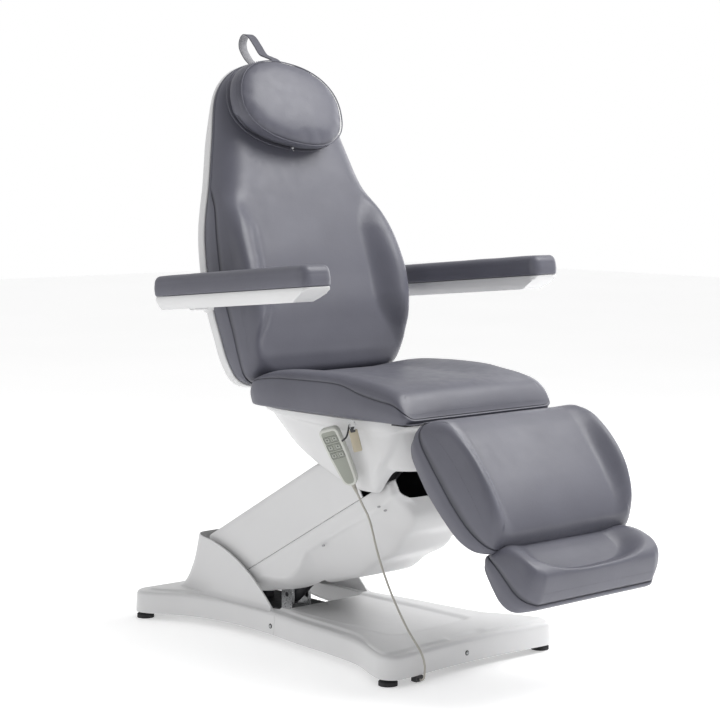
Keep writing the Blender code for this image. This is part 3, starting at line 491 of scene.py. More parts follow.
def walled(obj, thickness):
    """An open skin given a wall, inwards."""
    wall = obj.modifiers.new("wall", "SOLIDIFY")
    wall.thickness = thickness
    wall.offset = -1.0
    wall.use_even_offset = False
    applied(obj)
    obj.data.set_sharp_from_angle(angle=math.radians(40))
    return obj


def drop_faces(obj, unwanted):
    """Removes the faces whose centre the test picks."""
    with editing(obj.data) as bm:
        gone = [f for f in bm.faces if unwanted(f.calc_center_median())]
        bmesh.ops.delete(bm, geom=gone, context="FACES")
    return obj


def lathe(name, profile, axis_frame, body, look, count=32, **words):
    """A turned piece: (radius, height) pairs round the frame's z axis."""
    angles = np.linspace(0.0, 2 * math.pi, count, endpoint=False)
    circle = np.stack([np.cos(angles), np.sin(angles)], axis=1)
    rings = [level(r * circle, z) for r, z in profile]
    return skin(name, put(axis_frame, np.array(rings)), body, look, angle=35.0, **words)


def tube(path, radius, sides=10):
    """Rings round a path, without twist."""
    path = np.asarray(path, float)
    along = unit(np.gradient(path, axis=0))
    side = np.cross(along[0], (0.0, 0.3, 1.0))
    a = np.linspace(0.0, 2 * math.pi, sides, endpoint=False)[:, None]
    rings = []
    for p, t in zip(path, along):
        side = unit(side - t * (side @ t))
        rings.append(p + radius * (np.cos(a) * side + np.sin(a) * np.cross(t, side)))
    return np.array(rings)


def frame_at(place, normal, up=(0.0, 0.0, 1.0)):
    """A frame whose z axis is the normal."""
    z = Vector(normal).normalized()
    x = Vector(up).cross(z).normalized()
    return Matrix.Translation(place) @ Matrix((x, z.cross(x), z)).transposed().to_4x4()


def wave(x, y, size, seed=0.0):
    """Smooth random heights from -1 to 1, the same on every run."""
    flat = np.broadcast_arrays(np.asarray(x, float), np.asarray(y, float))
    pairs = zip(flat[0].ravel(), flat[1].ravel())
    values = [noise.noise(Vector((a / size, b / size, seed))) for a, b in pairs]
    return np.array(values).reshape(flat[0].shape)


# ---- Padded parts ----
PIPE = 0.0019
WAVY = 0.0011
WAVY_SIZE = 0.11
DASH = 0.0040
DASH_GAP = 0.0030
DASH_WIDTH = 0.0009
DASH_LIFT = 0.0001
STITCH_INSET = 0.0052
WRINKLE_SIZE = 0.013
WRINKLE_REACH = 0.009


class Pad:
    """A padded block: an outline in plan, a flat underside, a side panel up to a sewn seam, and a soft top
    whose height is a field over the plan. A pad whose seam is lower than its underside is built downwards."""

    def __init__(self, outline, under, seam, top, shoulder, spine, bulge=0.0035, groove=None, fold=0.008,
                 pucker=0.0007, seed=0.0):
        self.outline = outline
        self.normals = unit(softened(outward(outline), 6))
        self.under, self.seam, self.top = under, seam, top
        self.up = np.sign(seam - under)
        self.shoulder, self.spine, self.bulge = shoulder, spine, bulge
        self.groove = np.ones(len(outline)) if groove is None else groove
        self.fold, self.pucker = fold, pucker
        reach = lengths(outline)
        self.wrinkle = np.maximum(0.0, wave(reach, 0.0 * reach, WRINKLE_SIZE, seed)) ** 0.7

    def inset(self, depth):
        return self.outline - self.normals * np.reshape(depth, (-1, 1))

    def over_top(self, depth):
        """Points on the shoulder, a distance in from the outline."""
        plan = self.inset(np.full(len(self.outline), depth) if np.isscalar(depth) else depth)
        part = np.clip(depth / self.shoulder, 0.0, 1.0)
        rise = (1.0 - (1.0 - part) ** 2.3) ** (1.0 / 1.9)
        height = self.seam + (self.top(plan[:, 0], plan[:, 1]) - self.seam) * rise
        near = np.exp(-np.broadcast_to(depth, height.shape) / WRINKLE_REACH)
        height = height - self.pucker * self.groove * self.wrinkle * near * self.up
        return np.column_stack([plan, height])

    def rings(self):
        """Rings from the underside's middle, up the side and over the top, with how much painted seam shade
        each has.
        """
        up, rise = self.up, np.abs(self.seam - self.under)
        fold = np.minimum(self.fold, rise * 0.35)
        low, high = self.spine
        along = self.outline[:, 1]
        share = (along - along.min()) / np.ptp(along)
        centre = np.column_stack([0.0 * along, low + (high - low) * share])
        flat = between(self.inset(fold), centre, (1.0, 0.7, 0.4, 0.15, 0.05, 0.0))
        rings = [level(plan, self.under) for plan in flat]
        for a in np.radians((30, 60, 90)):
            plan = self.inset(fold * (1 - math.sin(a)))
            rings.append(level(plan, self.under + up * fold * (1 - math.cos(a))))
        for g in (0.15, 0.35, 0.55, 0.75, 0.88, 0.95):
            ripple = 0.5 * self.pucker * self.wrinkle * self.groove * g**3
            side = -self.bulge * math.sin(math.pi * g) + ripple
            rings.append(level(self.inset(side), self.under + up * (fold + (rise - fold) * g)))
        pinch = PIPE * self.groove
        rings.append(level(self.inset(0.12 * pinch), self.seam - up * 0.7 * PIPE))
        rings.append(level(self.inset(pinch), self.seam))
        seam_ring = len(rings) - 1
        for share in (0.012, 0.035, 0.07, 0.12, 0.19, 0.27, 0.36, 0.46, 0.57, 0.69, 0.82, 1.0):
            rings.append(self.over_top(self.shoulder * share))
        for plan in between(rings[-1][:, :2], centre, np.linspace(0.0, 1.0, 48)[1:]):
            rings.append(level(plan, self.top(plan[:, 0], plan[:, 1])))
        # Painted shade: the seam ring and the rings beside it are darkened in the colour.
        seam_shade = np.zeros((len(rings), len(self.outline)))
        for step, shade_share in ((-1, 0.30), (0, 1.0), (1, 0.25)):
            seam_shade[seam_ring + step] = shade_share * self.groove
        return np.array(rings), seam_shade

    def piece(self, name, placed, body):
        grid, seam_shade = self.rings()
        return skin(name, placed(grid), body, LEATHER, seam=seam_shade, caps=False, angle=45.0)

    def stitches(self, name, placed, body, keep=None):
        """A row of topstitching beside the seam."""
        flat = self.over_top(STITCH_INSET)
        line, above = placed(flat), placed(flat + (0, 0, 0.001 * self.up[0]))
        return stitch_row(name, line, above - line, body, keep)


def stitch_row(name, line, lift, body, keep=None):
    """One thread dash after another along a closed line, each lying on the surface under it."""
    lift = unit(lift)
    closed, lifts = np.vstack([line, line[:1]]), np.vstack([lift, lift[:1]])
    shown = np.ones(len(closed)) if keep is None else np.append(keep, keep[0])
    reach = lengths(closed)

    def along_line(table, s):
        return np.array([np.interp(s, reach, table[:, k]) for k in range(3)])

    points, faces = [], []
    for start in np.arange(0.0, reach[-1] - DASH, DASH + DASH_GAP):
        if np.interp(start, reach, shown) < 0.5:
            continue
        first_end, last_end = along_line(closed, start), along_line(closed, start + DASH)
        along = (last_end - first_end) / DASH
        across = unit(np.cross(along, along_line(lifts, start)))
        normal = np.cross(across, along)
        faces += box_faces(len(points), 4)
        for share, width in ((0.0, 0.25), (0.2, 1.0), (0.8, 1.0), (1.0, 0.25)):
            middle = first_end + (last_end - first_end) * share + normal * DASH_LIFT
            half = DASH_WIDTH / 2 * width
            points += [middle + d * half for d in (across, normal, -across, -normal)]
    return add_object(name, make_mesh(name, points, faces), body, THREAD)


class Stations:
    """Half width, underside, seam, bolster and middle as smooth functions of the place along a part."""

    def __init__(self, rows, fuller=0.0):
        table = spline(rows, 12)
        table[:, 1] += fuller * smooth(table[:, 1], 0.0, 0.12)
        self.at = table[:, 0]
        self.half, self.under, self.seam, self.bolster, self.middle = (
            lambda v, k=k: np.interp(v, self.at, table[:, k]) for k in range(1, 6)
        )

    def right_half(self):
        side = np.column_stack([self.half(self.at), self.at])
        return np.vstack([[(0.0, self.at[0])], side, [(0.0, self.at[-1])]])


def upholstery(part, rows, placed, body, dish, side_shoulder, end_shoulder, spine, soft=14, count=300,
               seed=0.0, groove=None, fuller=0.0, **words):
    """A cushion from its stations. The dish gives how far the bolster has risen at a share of half width."""
    s = Stations(rows, fuller)
    outline = outline_of(s.right_half(), soft, count)
    v = outline[:, 1]
    up = 1.0 if s.middle(v[0]) > s.under(v[0]) else -1.0

    def top(x, y):
        height = s.middle(y) + (s.bolster(y) - s.middle(y)) * dish(np.abs(x) / s.half(y), y)
        return height + up * WAVY * wave(x, y, WAVY_SIZE, seed)

    n = np.abs(outward(outline))
    shoulder = side_shoulder(v) * n[:, 0] + end_shoulder * n[:, 1]
    shares = groove(outline) if groove else None
    pad = Pad(outline, s.under(v), s.seam(v), top, shoulder, spine, groove=shares, seed=seed, **words)
    pad.piece(f"{part}_look", placed, body)
    pad.stitches(f"{part}_look_stitching", placed, body, shares)


def placer(part_frame, signs=(1, 1, 1), order=(0, 1, 2)):
    """A function that puts points given on a part's own axes into the bed's frame."""
    return lambda p: put(part_frame, np.asarray(p)[..., list(order)] * signs)


def even(share):
    """The same value all along a part."""
    return lambda v: share + 0.0 * v


in_bed = placer(BED)
in_leg = placer(LEG, (1, -1, 1))
in_foot = placer(FOOT, (1, -1, 1))
in_arm = placer(ARM, (1, -1, 1))
in_back = placer(BACK, order=(0, 2, 1))

# ---- Cushions ----
BACK_FULLER = 0.016


def back_seam(outline):
    """The back's side seam is sewn below the shoulders only."""
    return 1.0 - smooth(outline[:, 1], 0.535, 0.560)


def back_dish(share, t):
    """The flat middle ends at a share of the half width: the bolsters move out towards their two ends."""
    start = 0.58 + 0.22 * smooth(t, 0.43, 0.56) + 0.26 * (1.0 - smooth(t, 0.11, 0.26))
    return smooth(share, start, np.minimum(start + 0.27, 1.04))


def back_shoulder(t):
    """The roll over the edge is broad where the back is narrow, above the side seam."""
    return 0.034 + 0.040 * smooth(t, 0.47, 0.60)


def foot_dish(share, along):
    """The foot rest's dish has a rim on three sides."""
    front = np.clip((along - 0.040) / 0.116, 0.0, 1.0)
    return smooth((share**3 + front**3) ** (1 / 3), 0.56, 0.86)


def seat_dish(share, along):
    return smooth(share, 0.38, 0.84)


def leg_dish(share, along):
    return smooth(share, 0.69, 0.97)


upholstery("seat_cushion", SEAT_STATIONS, in_bed, "pedestal", seat_dish, even(0.034), 0.036, (-0.24, 0.0),
           seed=1.0, fuller=0.004)
upholstery("back_cushion", BACK_STATIONS, in_back, "backrest", back_dish, back_shoulder, 0.028, (0.25, 0.80),
           soft=10, count=380, seed=2.0, groove=back_seam, fold=0.004, bulge=0.002, fuller=BACK_FULLER)
upholstery("leg_cushion", LEG_STATIONS, in_leg, "legrest", leg_dish, even(0.036), 0.026, (0.13, 0.22),
           soft=12, seed=3.0, fuller=0.010, fold=0.016)
upholstery("foot_cushion", FOOT_STATIONS, in_foot, "footrest", foot_dish, even(0.024), 0.024, (0.06, 0.09),
           soft=7, count=260, seed=4.0, fold=0.020, fuller=0.014)

# ---- Knee flap ----
FLAP_HALF = 0.240
FLAP_THICK = 0.0022
FLAP_PATH = ((-0.398, 0.6000), (-0.415, 0.6000), (-0.432, 0.6010), (-0.450, 0.6050), (-0.466, 0.6095),
             (-0.478, 0.6105))


def knee_flap():
    """A leather flap sewn under the seat's front edge, which lies on the top of the leg rest."""
    line, face = strip_of(FLAP_PATH, 6, 26)
    across = FLAP_HALF * np.linspace(-1.0, 1.0, 61)
    rings = []
    for place, out, part in zip(line, face, np.linspace(0.0, 1.0, len(line))):
        narrow = across * (1.0 - 0.035 * part)
        ripple = 0.0011 * part * wave(across, 0 * across + part, 0.045, 9.0)
        low = np.column_stack([narrow, place + np.outer(ripple, out)])
        top = np.column_stack([narrow, place + np.outer(ripple + FLAP_THICK, out)])
        rings.append(np.vstack([top, low[::-1]]))
    obj = skin("knee_flap", in_bed(rings), None, LEATHER, angle=50.0)
    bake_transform(obj)


knee_flap()


# ---- Pillow ----
PILLOW_T = 0.754
PILLOW_SLOPE = 0.14
PILLOW_BACK = -0.0760
PILLOW_FACE = -0.1280
PILLOW_CROWN = 0.015
PILLOW_FACE_HALF = np.array((0.159, 0.108))
PILLOW_BACK_HALF = np.array((0.167, 0.110))
PILLOW_POINTS = 200
PILLOW_X = -0.017
PILLOW_TURN = math.radians(11.0)
PILLOW_SQUARE = 0.86
PILLOW_BELLY = 0.028


def pillow_ring(half, depth):
    """A rounded oval, flatter along its foot, at a depth in front of the back."""
    across, up = oval(*half, PILLOW_SQUARE, PILLOW_POINTS)
    across = across * (1.0 - 0.05 * up / half[1])
    x = across * math.cos(PILLOW_TURN) + up * math.sin(PILLOW_TURN)
    z = up * math.cos(PILLOW_TURN) - across * math.sin(PILLOW_TURN)
    return put(BACK, np.stack([PILLOW_X + x, depth + PILLOW_SLOPE * z, PILLOW_T + z], axis=1))


def pillow_band(part, more=0.0):
    """Half size and depth at a share of the side band, from the back to the face."""
    half = PILLOW_BACK_HALF * (1 - part) + PILLOW_FACE_HALF * part
    depth = PILLOW_BACK + (PILLOW_FACE - PILLOW_BACK) * part
    return half * (1.0 + PILLOW_BELLY * math.sin(math.pi * part) + more), depth


def pillow_shape():
    """The pillow's cover before it is stuffed: back, side band and face."""
    rings = [pillow_ring(PILLOW_BACK_HALF * q, PILLOW_BACK) for q in (0.02, 0.3, 0.6, 0.85, 0.95)]
    for part in (0.0, 0.04, 0.12, 0.25, 0.4, 0.55, 0.7, 0.85, 0.95, 1.0):
        rings.append(pillow_ring(*pillow_band(part)))
    for q in (0.985, 0.965, 0.93, 0.88, 0.81, 0.72, 0.62, 0.5, 0.38, 0.26, 0.13, 0.02):
        crown = PILLOW_CROWN * (1.0 - q**2.6) ** 0.8
        rings.append(pillow_ring(PILLOW_FACE_HALF * q, PILLOW_FACE - crown))
    return np.array(rings)


SIM_VOXEL = 0.0055
SIM_PRESSURE = 3.0
SIM_CAP = 0.006
SIM_STEPS = 20
SIM_STIFF = 25.0
SIM_BEND = 2.0


def vertex_places(mesh):
    flat = np.empty(len(mesh.vertices) * 3)
    mesh.vertices.foreach_get("co", flat)
    return flat.reshape(-1, 3)


def stuffed(obj):
    """Blows the cover up like a filled cushion, with Cloth; no point goes far from where it was cut."""
    cut = obj.data
    remesh = obj.modifiers.new("even", "REMESH")
    remesh.mode = "VOXEL"
    remesh.voxel_size = SIM_VOXEL
    applied(obj)
    start = vertex_places(obj.data)
    cloth = obj.modifiers.new("filling", "CLOTH").settings
    cloth.use_pressure = True
    cloth.uniform_pressure_force = SIM_PRESSURE
    cloth.effector_weights.gravity = 0.0
    cloth.tension_stiffness = cloth.compression_stiffness = SIM_STIFF
    cloth.bending_stiffness = SIM_BEND
    for step in range(1, SIM_STEPS + 1):
        bpy.context.scene.frame_set(step)
    applied(obj)
    bpy.context.scene.frame_set(1)
    move = vertex_places(obj.data) - start
    far = np.linalg.norm(move, axis=1)[:, None]
    end = start + move * np.minimum(1.0, SIM_CAP / np.maximum(far, 1e-9))
    obj.data.vertices.foreach_set("co", end.reshape(-1))
    smoother = obj.modifiers.new("relaxed", "SMOOTH")
    smoother.iterations = 16
    finer = obj.modifiers.new("finer", "SUBSURF")
    finer.levels = finer.render_levels = 1
    applied(obj)
    obj.data.shade_smooth()
    obj.data.materials.clear()
    obj.data.materials.append(LEATHER)
    bpy.data.meshes.remove(cut)


pillow = skin("head_pillow_look", pillow_shape(), "pillow", LEATHER)
stuffed(pillow)


def piping(name, line, radius, look):
    """A closed roll of piping round the pillow."""
    loop = np.vstack([line[-2:], line, line[:2]])
    skin(name, tube(loop, radius, 8)[2:-1], "pillow", look, caps=False, slot="upholstery")


piping("head_pillow_piping", pillow_ring(PILLOW_FACE_HALF * 1.006, PILLOW_FACE - 0.001), 0.0015, LEATHER)
piping("head_pillow_back_seam", pillow_ring(PILLOW_BACK_HALF * 1.004, PILLOW_BACK - 0.003), 0.0010, THREAD)

# Dotted rows on the side band, beside the face seam and beside the back seam.
for row, part in (("front", 0.90), ("middle", 0.72), ("rear", 0.16)):
    half, depth = pillow_band(part, 0.012)
    line = pillow_ring(half, depth)
    stitch_row(f"head_pillow_stitching_{row}", line, pillow_ring(half * 1.01, depth) - line, "pillow")


ZIP_HALF = 34
ZIP_TEETH = 90
ZIP_SLIDER_AT = 48
TOOTH = ((-0.0007, -0.0022), (0.0007, -0.0022), (0.0007, 0.0006), (-0.0007, 0.0006))
TOOTH_HIGH = 0.0012


def zip_fastener():
    """A row of zip teeth along the band's foot, with a slider and its puller."""
    ring = pillow_ring(PILLOW_BACK_HALF * 1.012, PILLOW_BACK - 0.020)
    foot = np.roll(np.arange(PILLOW_POINTS), ZIP_HALF)[:2 * ZIP_HALF + 1]
    line = resample(ring[foot], ZIP_TEETH)
    back_out = np.array(BACK.to_3x3() @ Vector((0.0, 1.0, 0.0)))
    points, faces = [], []
    for i, place in enumerate(line[:-1]):
        along = unit(line[i + 1] - place)
        out = unit(np.cross(along, back_out))
        other = np.cross(out, along) * (1 if i % 2 else -1)
        faces += box_faces(len(points))
        for lift in (0.0, TOOTH_HIGH):
            points += [place + along * u + other * w + out * lift for u, w in TOOTH]
    add_object("zip_teeth", make_mesh("zip_teeth", points, faces), "pillow", BLACK_PLASTIC)
    out = np.array(BACK.to_3x3() @ Vector((0.0, 0.15, -1.0)))
    hang = frame_at(line[ZIP_SLIDER_AT] - 0.001 * out, out)
    slider = ((0.0005, -0.001), (0.0035, -0.001), (0.0042, 0.001), (0.0036, 0.0028), (0.0005, 0.0034))
    lathe("zip_slider", slider, hang, "pillow", STEEL, 20)
    puller = [(0.0, 0.0, 0.002), (0.0012, 0.0, 0.0045), (0.0020, 0.001, 0.0070), (0.0024, 0.001, 0.0090)]
    skin("zip_puller", tube(put(hang, resample(spline(puller, 5), 12)), 0.0016, 8), "pillow", STEEL)


zip_fastener()

# ---- Pillow strap ----
STRAP_HALF = 0.0125
STRAP_THICK = 0.0022
LINING_GAP, LINING_THICK = 0.0002, 0.0010
STRAP_PATH = ((-0.085, 0.850), (-0.073, 0.880), (-0.048, 0.897), (-0.028, 0.910), (-0.012, 0.938),
              (0.006, 0.966), (0.026, 0.977), (0.044, 0.966), (0.049, 0.944), (0.036, 0.914),
              (0.019, 0.890), (0.0145, 0.850), (0.0145, 0.800))


def strap_skin(name, low, high, look):
    """A band of webbing, from one side of its thickness to the other, along the strap's path."""
    corners = ((-1, low), (1, low), (1, high), (-1, high))
    steps = zip(*strip_of(STRAP_PATH, 10, 90))
    rings = [[(u * STRAP_HALF, *(place + out * v)) for u, v in corners] for place, out in steps]
    return skin(name, put(BACK, rings), None, look, angle=30.0)


strap = strap_skin("pillow_strap_look", 0.0, STRAP_THICK, STRAP)
lining_low = STRAP_THICK + LINING_GAP
lining = strap_skin("pillow_strap_lining", lining_low, lining_low + LINING_THICK, LOOP_TAPE)
for piece in (strap, lining):
    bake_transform(piece)

# ---- Armrests ----
REST_FRONT, REST_REAR = -0.530, 0.039
REST_INNER, REST_OUTER = 0.335, 0.428
REST_CORNER = 0.022
REST_GAP = 0.0015
REST_TAIL = 0.04
TRAY_LOW, TRAY_RISE = -0.0130, 0.0332
TRAY_HIGH = 0.0202
TRAY_SIDE = ((0.0, 0.0040), (0.0055, 0.0022), (0.0105, 0.0010), (0.0150, 0.0006), (0.0180, 0.0012),
             (0.0196, 0.0024), (TRAY_HIGH, 0.0045))
SIDES = ((-1.0, "left"), (1.0, "right"))


def rounded_box(half_x, low, high, corner):
    """Right half of a rounded rectangle, from (0, low) to (0, high)."""
    turn = np.radians(np.linspace(-90, 0, 8))
    lower = np.stack([half_x - corner + corner * np.cos(turn), low + corner + corner * np.sin(turn)], axis=1)
    upper = lower * (1, -1) + (0, low + high)
    return np.vstack([[(0.0, low)], lower, upper[::-1], [(0.0, high)]])


def armrest(side, name):
    """A long pad, sewn along its top edge, on a white tray that slopes up under its front end."""
    placed = placer(ARMREST @ Matrix.Translation((side * (REST_INNER + REST_OUTER) / 2, 0.0, 0.0)))
    half = (REST_OUTER - REST_INNER) / 2
    plan = rounded_box(half - REST_GAP, REST_FRONT + REST_GAP, REST_REAR - REST_GAP, REST_CORNER)
    outline = outline_of(plan, 2, 340)
    ones = np.ones(len(outline))

    def crown(x, y):
        end = np.minimum(y - REST_FRONT, REST_REAR - y)
        across = 1.0 - (np.abs(x) / half) ** 2.5
        return 0.0692 + 0.0014 * across * smooth(end, 0.0, 0.06) + 0.0006 * wave(x, y, 0.07, side)

    spine = (REST_FRONT + REST_TAIL, REST_REAR - REST_TAIL)
    pad = Pad(outline, 0.0207 * ones, 0.0500 * ones, crown, 0.017 * ones, spine, bulge=0.0012,
              groove=0.0 * ones, fold=0.004, pucker=0.0004, seed=6.0 + side)
    pad.piece(f"armrest_pad_{name}_look", placed, f"armrest_{name}")
    rings = []
    for height, inset in TRAY_SIDE:
        part = 1.0 - height / TRAY_HIGH
        loop = outline - pad.normals * (inset + 0.010 * part**2)
        if part > 0.05:
            loop[:, 1] = np.maximum(loop[:, 1], REST_FRONT + REST_GAP + 0.060 * part**1.3)
        rings.append(level(loop, TRAY_LOW + TRAY_RISE * (height / TRAY_HIGH)))
    skin(f"armrest_shell_{name}_look", placed(rings), f"armrest_{name}", WHITE, angle=35.0)


for side, name in SIDES:
    armrest(side, name)

# ---- Back shell ----
SHELL_FRONT = -0.0200
SHELL_REAR = 0.0115
SHELL_ROLL = 0.013
SHELL_WALL = 0.003
SHELL_SPINE = (0.25, 0.80)
HUMP = ((0.085, 0.13, 0.20, 0.30, 0.42, 0.50, 0.545), (0.0, 0.016, 0.028, 0.031, 0.026, 0.012, 0.0))
SHELL_SIDE = Stations(BACK_STATIONS, BACK_FULLER)


def shell_rear(plan):
    """The shell's rear face: flat at the rim, with a raised housing over the recline lever."""
    x, t = plan[:, 0], plan[:, 1]
    share = np.abs(x) / (SHELL_SIDE.half(t) + 0.002)
    rear = SHELL_REAR - 0.0145 * smooth(t, 0.66, 0.80)
    return rear + np.interp(t, *HUMP) * (1.0 - smooth(share, 0.42, 0.84))


def back_shell():
    outline = outline_of(SHELL_SIDE.right_half(), 10, 300)
    n = outward(outline)
    outline = outline + SHELL_WALL * n
    centre = np.column_stack([0.0 * outline[:, 0], np.clip(outline[:, 1], *SHELL_SPINE)])
    rings = [level(outline - 0.006 * n, SHELL_FRONT), level(outline - 0.002 * n, SHELL_FRONT - 0.0005),
             level(outline, SHELL_FRONT + 0.0015)]
    rim = shell_rear(outline)
    for a in np.radians((0, 25, 50, 75, 90)):
        plan = outline - n * SHELL_ROLL * (1 - math.cos(a))
        rings.append(level(plan, rim - SHELL_ROLL * (1 - math.sin(a))))
    for plan in between(outline - SHELL_ROLL * n, centre, np.linspace(0.0, 1.0, 26)[1:]):
        rings.append(level(plan, shell_rear(plan)))
    walled(skin("back_shell_look", in_back(rings), "backrest", WHITE, caps=False), SHELL_WALL)


back_shell()
BRACKET_IN, BRACKET_OUT = 0.268, 0.3345
BOSS_REACH = BRACKET_OUT - BRACKET_IN
BOSS = ((0.0004, 0.0), (0.029, 0.0), (0.0295, 0.010), (0.028, 0.015), (0.024, 0.019), (0.0185, 0.022),
        (0.0180, 0.026), (0.0180, BOSS_REACH - 0.001), (0.0170, BOSS_REACH), (0.0004, BOSS_REACH))
CATCH_OUT = 0.243
CATCH_PLACES = ((0.513, 0.004), (0.470, 0.006))
CATCH = ((0.0002, 0.004), (0.006, 0.0036), (0.0095, 0.0015), (0.0105, -0.003))

# Round bosses on the shell's sides, which the armrests turn on, and then two small catches beside each.
for side, name in SIDES:
    root = Matrix.Translation((side * BRACKET_IN, 0.0, 0.0))
    hub = ARMREST @ root @ Matrix.Rotation(side * math.pi / 2, 4, "Y")
    lathe(f"armrest_bracket_{name}_look", BOSS, hub, "backrest", WHITE, 40)
for side, name in SIDES:
    face = BACK.to_3x3() @ Vector((side, 0.25, 0.0))
    for t, w in CATCH_PLACES:
        hold = frame_at(put(BACK, (side * CATCH_OUT, w, t)), face)
        lathe(f"shell_catch_{t:.2f}_{name}", CATCH, hold, "backrest", WHITE, 24)

# ---- Base cover ----
FRONT_SIDE = ((0.187, 0.108), (0.203, 0.0), (0.213, -0.12), (0.232, -0.24), (0.266, -0.32), (0.2835, -0.364))
FRONT_CORNER = ((0.245, -0.375), 0.040, 0.0, -90.0)
FRONT_EDGE = ((0.205, -0.412), (0.10, -0.404), (0.0, -0.401))
REAR_SIDE = ((0.187, 0.108), (0.180, 0.22), (0.186, 0.33), (0.215, 0.43), (0.262, 0.505), (0.278, 0.535))
REAR_CORNER = ((0.235, 0.541), 0.045, 10.0, 90.0)
REAR_EDGE = ((0.19, 0.584), (0.0, 0.578))
SPLIT = 0.108
WELL = ((-0.150, 0.128), (0.150, 0.500))
SKIRT_LOW, SKIRT_HIGH = 0.017, 0.062
DECK = 0.0725
STEP = 0.0050
TRAY = 0.0055
DECK_SPINE = (-0.25, 0.42)
DECK_FRONT, DECK_REAR = -0.403, 0.580
TRAY_BOX = (0.132, -0.268, 0.160, 0.030)
NOTCH_BOX = (0.062, -0.440, -0.358, 0.016)
STEP_INSET, STEP_BLUR = 0.024, 0.005
BORDER_HIGH, BORDER_OUT, BORDER_WIDE = 0.0012, 0.010, 0.007
DRAFT = 0.0022
SPLIT_GAP = 0.0004
LID_WALL = 0.0035


def arc(centre, radius, start, end, count=10):
    a = np.radians(np.linspace(start, end, count))
    return np.stack([centre[0] + radius * np.cos(a), centre[1] + radius * np.sin(a)], axis=1)


def base_outline(count=420):
    front = np.vstack([spline(FRONT_SIDE, 8), arc(*FRONT_CORNER), spline(FRONT_EDGE, 6)])[::-1]
    rear = np.vstack([spline(REAR_SIDE, 8), arc(*REAR_CORNER), spline(REAR_EDGE, 6)])[1:]
    return outline_of(np.vstack([front, rear]), 3, count)


def box_distance(x, y, half_x, low, high, corner):
    """Signed distance to a rounded rectangle, negative inside."""
    dx = np.abs(x) - (half_x - corner)
    dy = np.abs(y - (low + high) / 2) - ((high - low) / 2 - corner)
    outside = np.hypot(np.maximum(dx, 0.0), np.maximum(dy, 0.0))
    return outside + np.minimum(np.maximum(dx, dy), 0.0) - corner


BASE_LOOP = base_outline()


def edge_inset(x, y):
    """How far in from the base's outline a point of the deck lies."""
    right = BASE_LOOP[BASE_LOOP[:, 0] > 0]
    order = np.argsort(right[:, 1])
    side = np.interp(y, right[order, 1], right[order, 0])
    return np.minimum(np.minimum(side - np.abs(x), y - DECK_FRONT), DECK_REAR - y)


def deck_height(x, y):
    """Raised platform, with a recessed tray before the arm and a lower pad at the front edge's middle."""
    inset = edge_inset(x, y)
    front = 1.0 - smooth(y, -0.30, -0.18)
    start = STEP_INSET + 0.012 * (1.0 - front) - 0.008 * smooth(np.abs(x), 0.14, 0.22) * front
    notch = box_distance(x, y, *NOTCH_BOX)
    corner = smooth(-notch, -0.010, 0.014)
    rise = STEP * smooth(inset, start - STEP_BLUR, start + STEP_BLUR) * (1.0 - corner)
    tray = box_distance(x, y, *TRAY_BOX)
    border = BORDER_HIGH * np.exp(-(((tray - BORDER_OUT) / BORDER_WIDE) ** 2))
    return DECK + rise + border - TRAY * smooth(-tray, -0.002, 0.011)


def base_lid():
    """Rings from under the skirt's lower edge, up its side, over its round edge and across the deck."""
    loop = BASE_LOOP
    n = outward(loop)
    centre = np.column_stack([0.0 * loop[:, 0], np.clip(loop[:, 1], *DECK_SPINE)])
    rings = [level(loop - inset * n, SKIRT_LOW + lift) for inset, lift in
             ((0.0050, 0.004), (0.0040, 0.0004), (0.0010, 0.0), (0.0, 0.0012))]
    for part in (0.2, 0.4, 0.6, 0.8, 1.0):
        rings.append(level(loop - DRAFT * part * n, SKIRT_LOW + (SKIRT_HIGH - SKIRT_LOW) * part))
    roll = DECK - SKIRT_HIGH
    for a in np.radians((18, 36, 54, 72, 90)):
        rings.append(level(loop - (DRAFT + roll * (1 - math.cos(a))) * n, SKIRT_HIGH + roll * math.sin(a)))
    shares = np.concatenate([np.linspace(0.0, 0.30, 36)[1:], np.linspace(0.30, 1.0, 50)[1:]])
    for plan in between(loop - (DRAFT + roll) * n, centre, shares):
        rings.append(level(plan, deck_height(plan[:, 0], plan[:, 1])))
    return rings


def cut_plane(bm, place, normal, clear=False):
    everything = bm.verts[:] + bm.edges[:] + bm.faces[:]
    bmesh.ops.bisect_plane(bm, geom=everything, plane_co=place, plane_no=normal, clear_inner=clear)


def base_half(name, way):
    """Half of the lid, with the well under the arm open; the way is 1 for the rear half."""
    obj = skin(name, in_bed(base_lid()), "base", WHITE, caps=False)
    low, high = WELL
    with editing(obj.data) as bm:
        cut_plane(bm, (0.0, SPLIT + Y_OFFSET + way * SPLIT_GAP, 0.0), (0.0, way, 0.0), clear=True)
        for x in (low[0], high[0]):
            cut_plane(bm, (x, 0.0, 0.0), (1.0, 0.0, 0.0))
        for y in (low[1], high[1]):
            cut_plane(bm, (0.0, y + Y_OFFSET, 0.0), (0.0, 1.0, 0.0))

    def well(place):
        y = place.y - Y_OFFSET
        return low[0] < place.x < high[0] and low[1] < y < high[1] and place.z > SKIRT_HIGH

    walled(drop_faces(obj, well), LID_WALL)


base_half("base_cover_front_look", -1.0)
base_half("base_cover_rear_look", 1.0)

# ---- Shroud fins ----
FIN_OUTER = 0.165
FIN_WALL = 0.0042
FIN_ARC = ((0.4895, -0.2533), 0.479)
FIN_REAR = ((0.0700, 0.545), (0.0745, 0.536), (0.100, 0.506), (0.145, 0.481), (0.190, 0.467), (0.2177, 0.459))
FIN_TOP = 0.2177
FILLET = 0.014
FIN_CORNER = 0.034
FIN_LEAN = 0.0035
LIP = ((0.0022, 0.0002), (0.0008, 0.0009), (0.0, 0.0020))


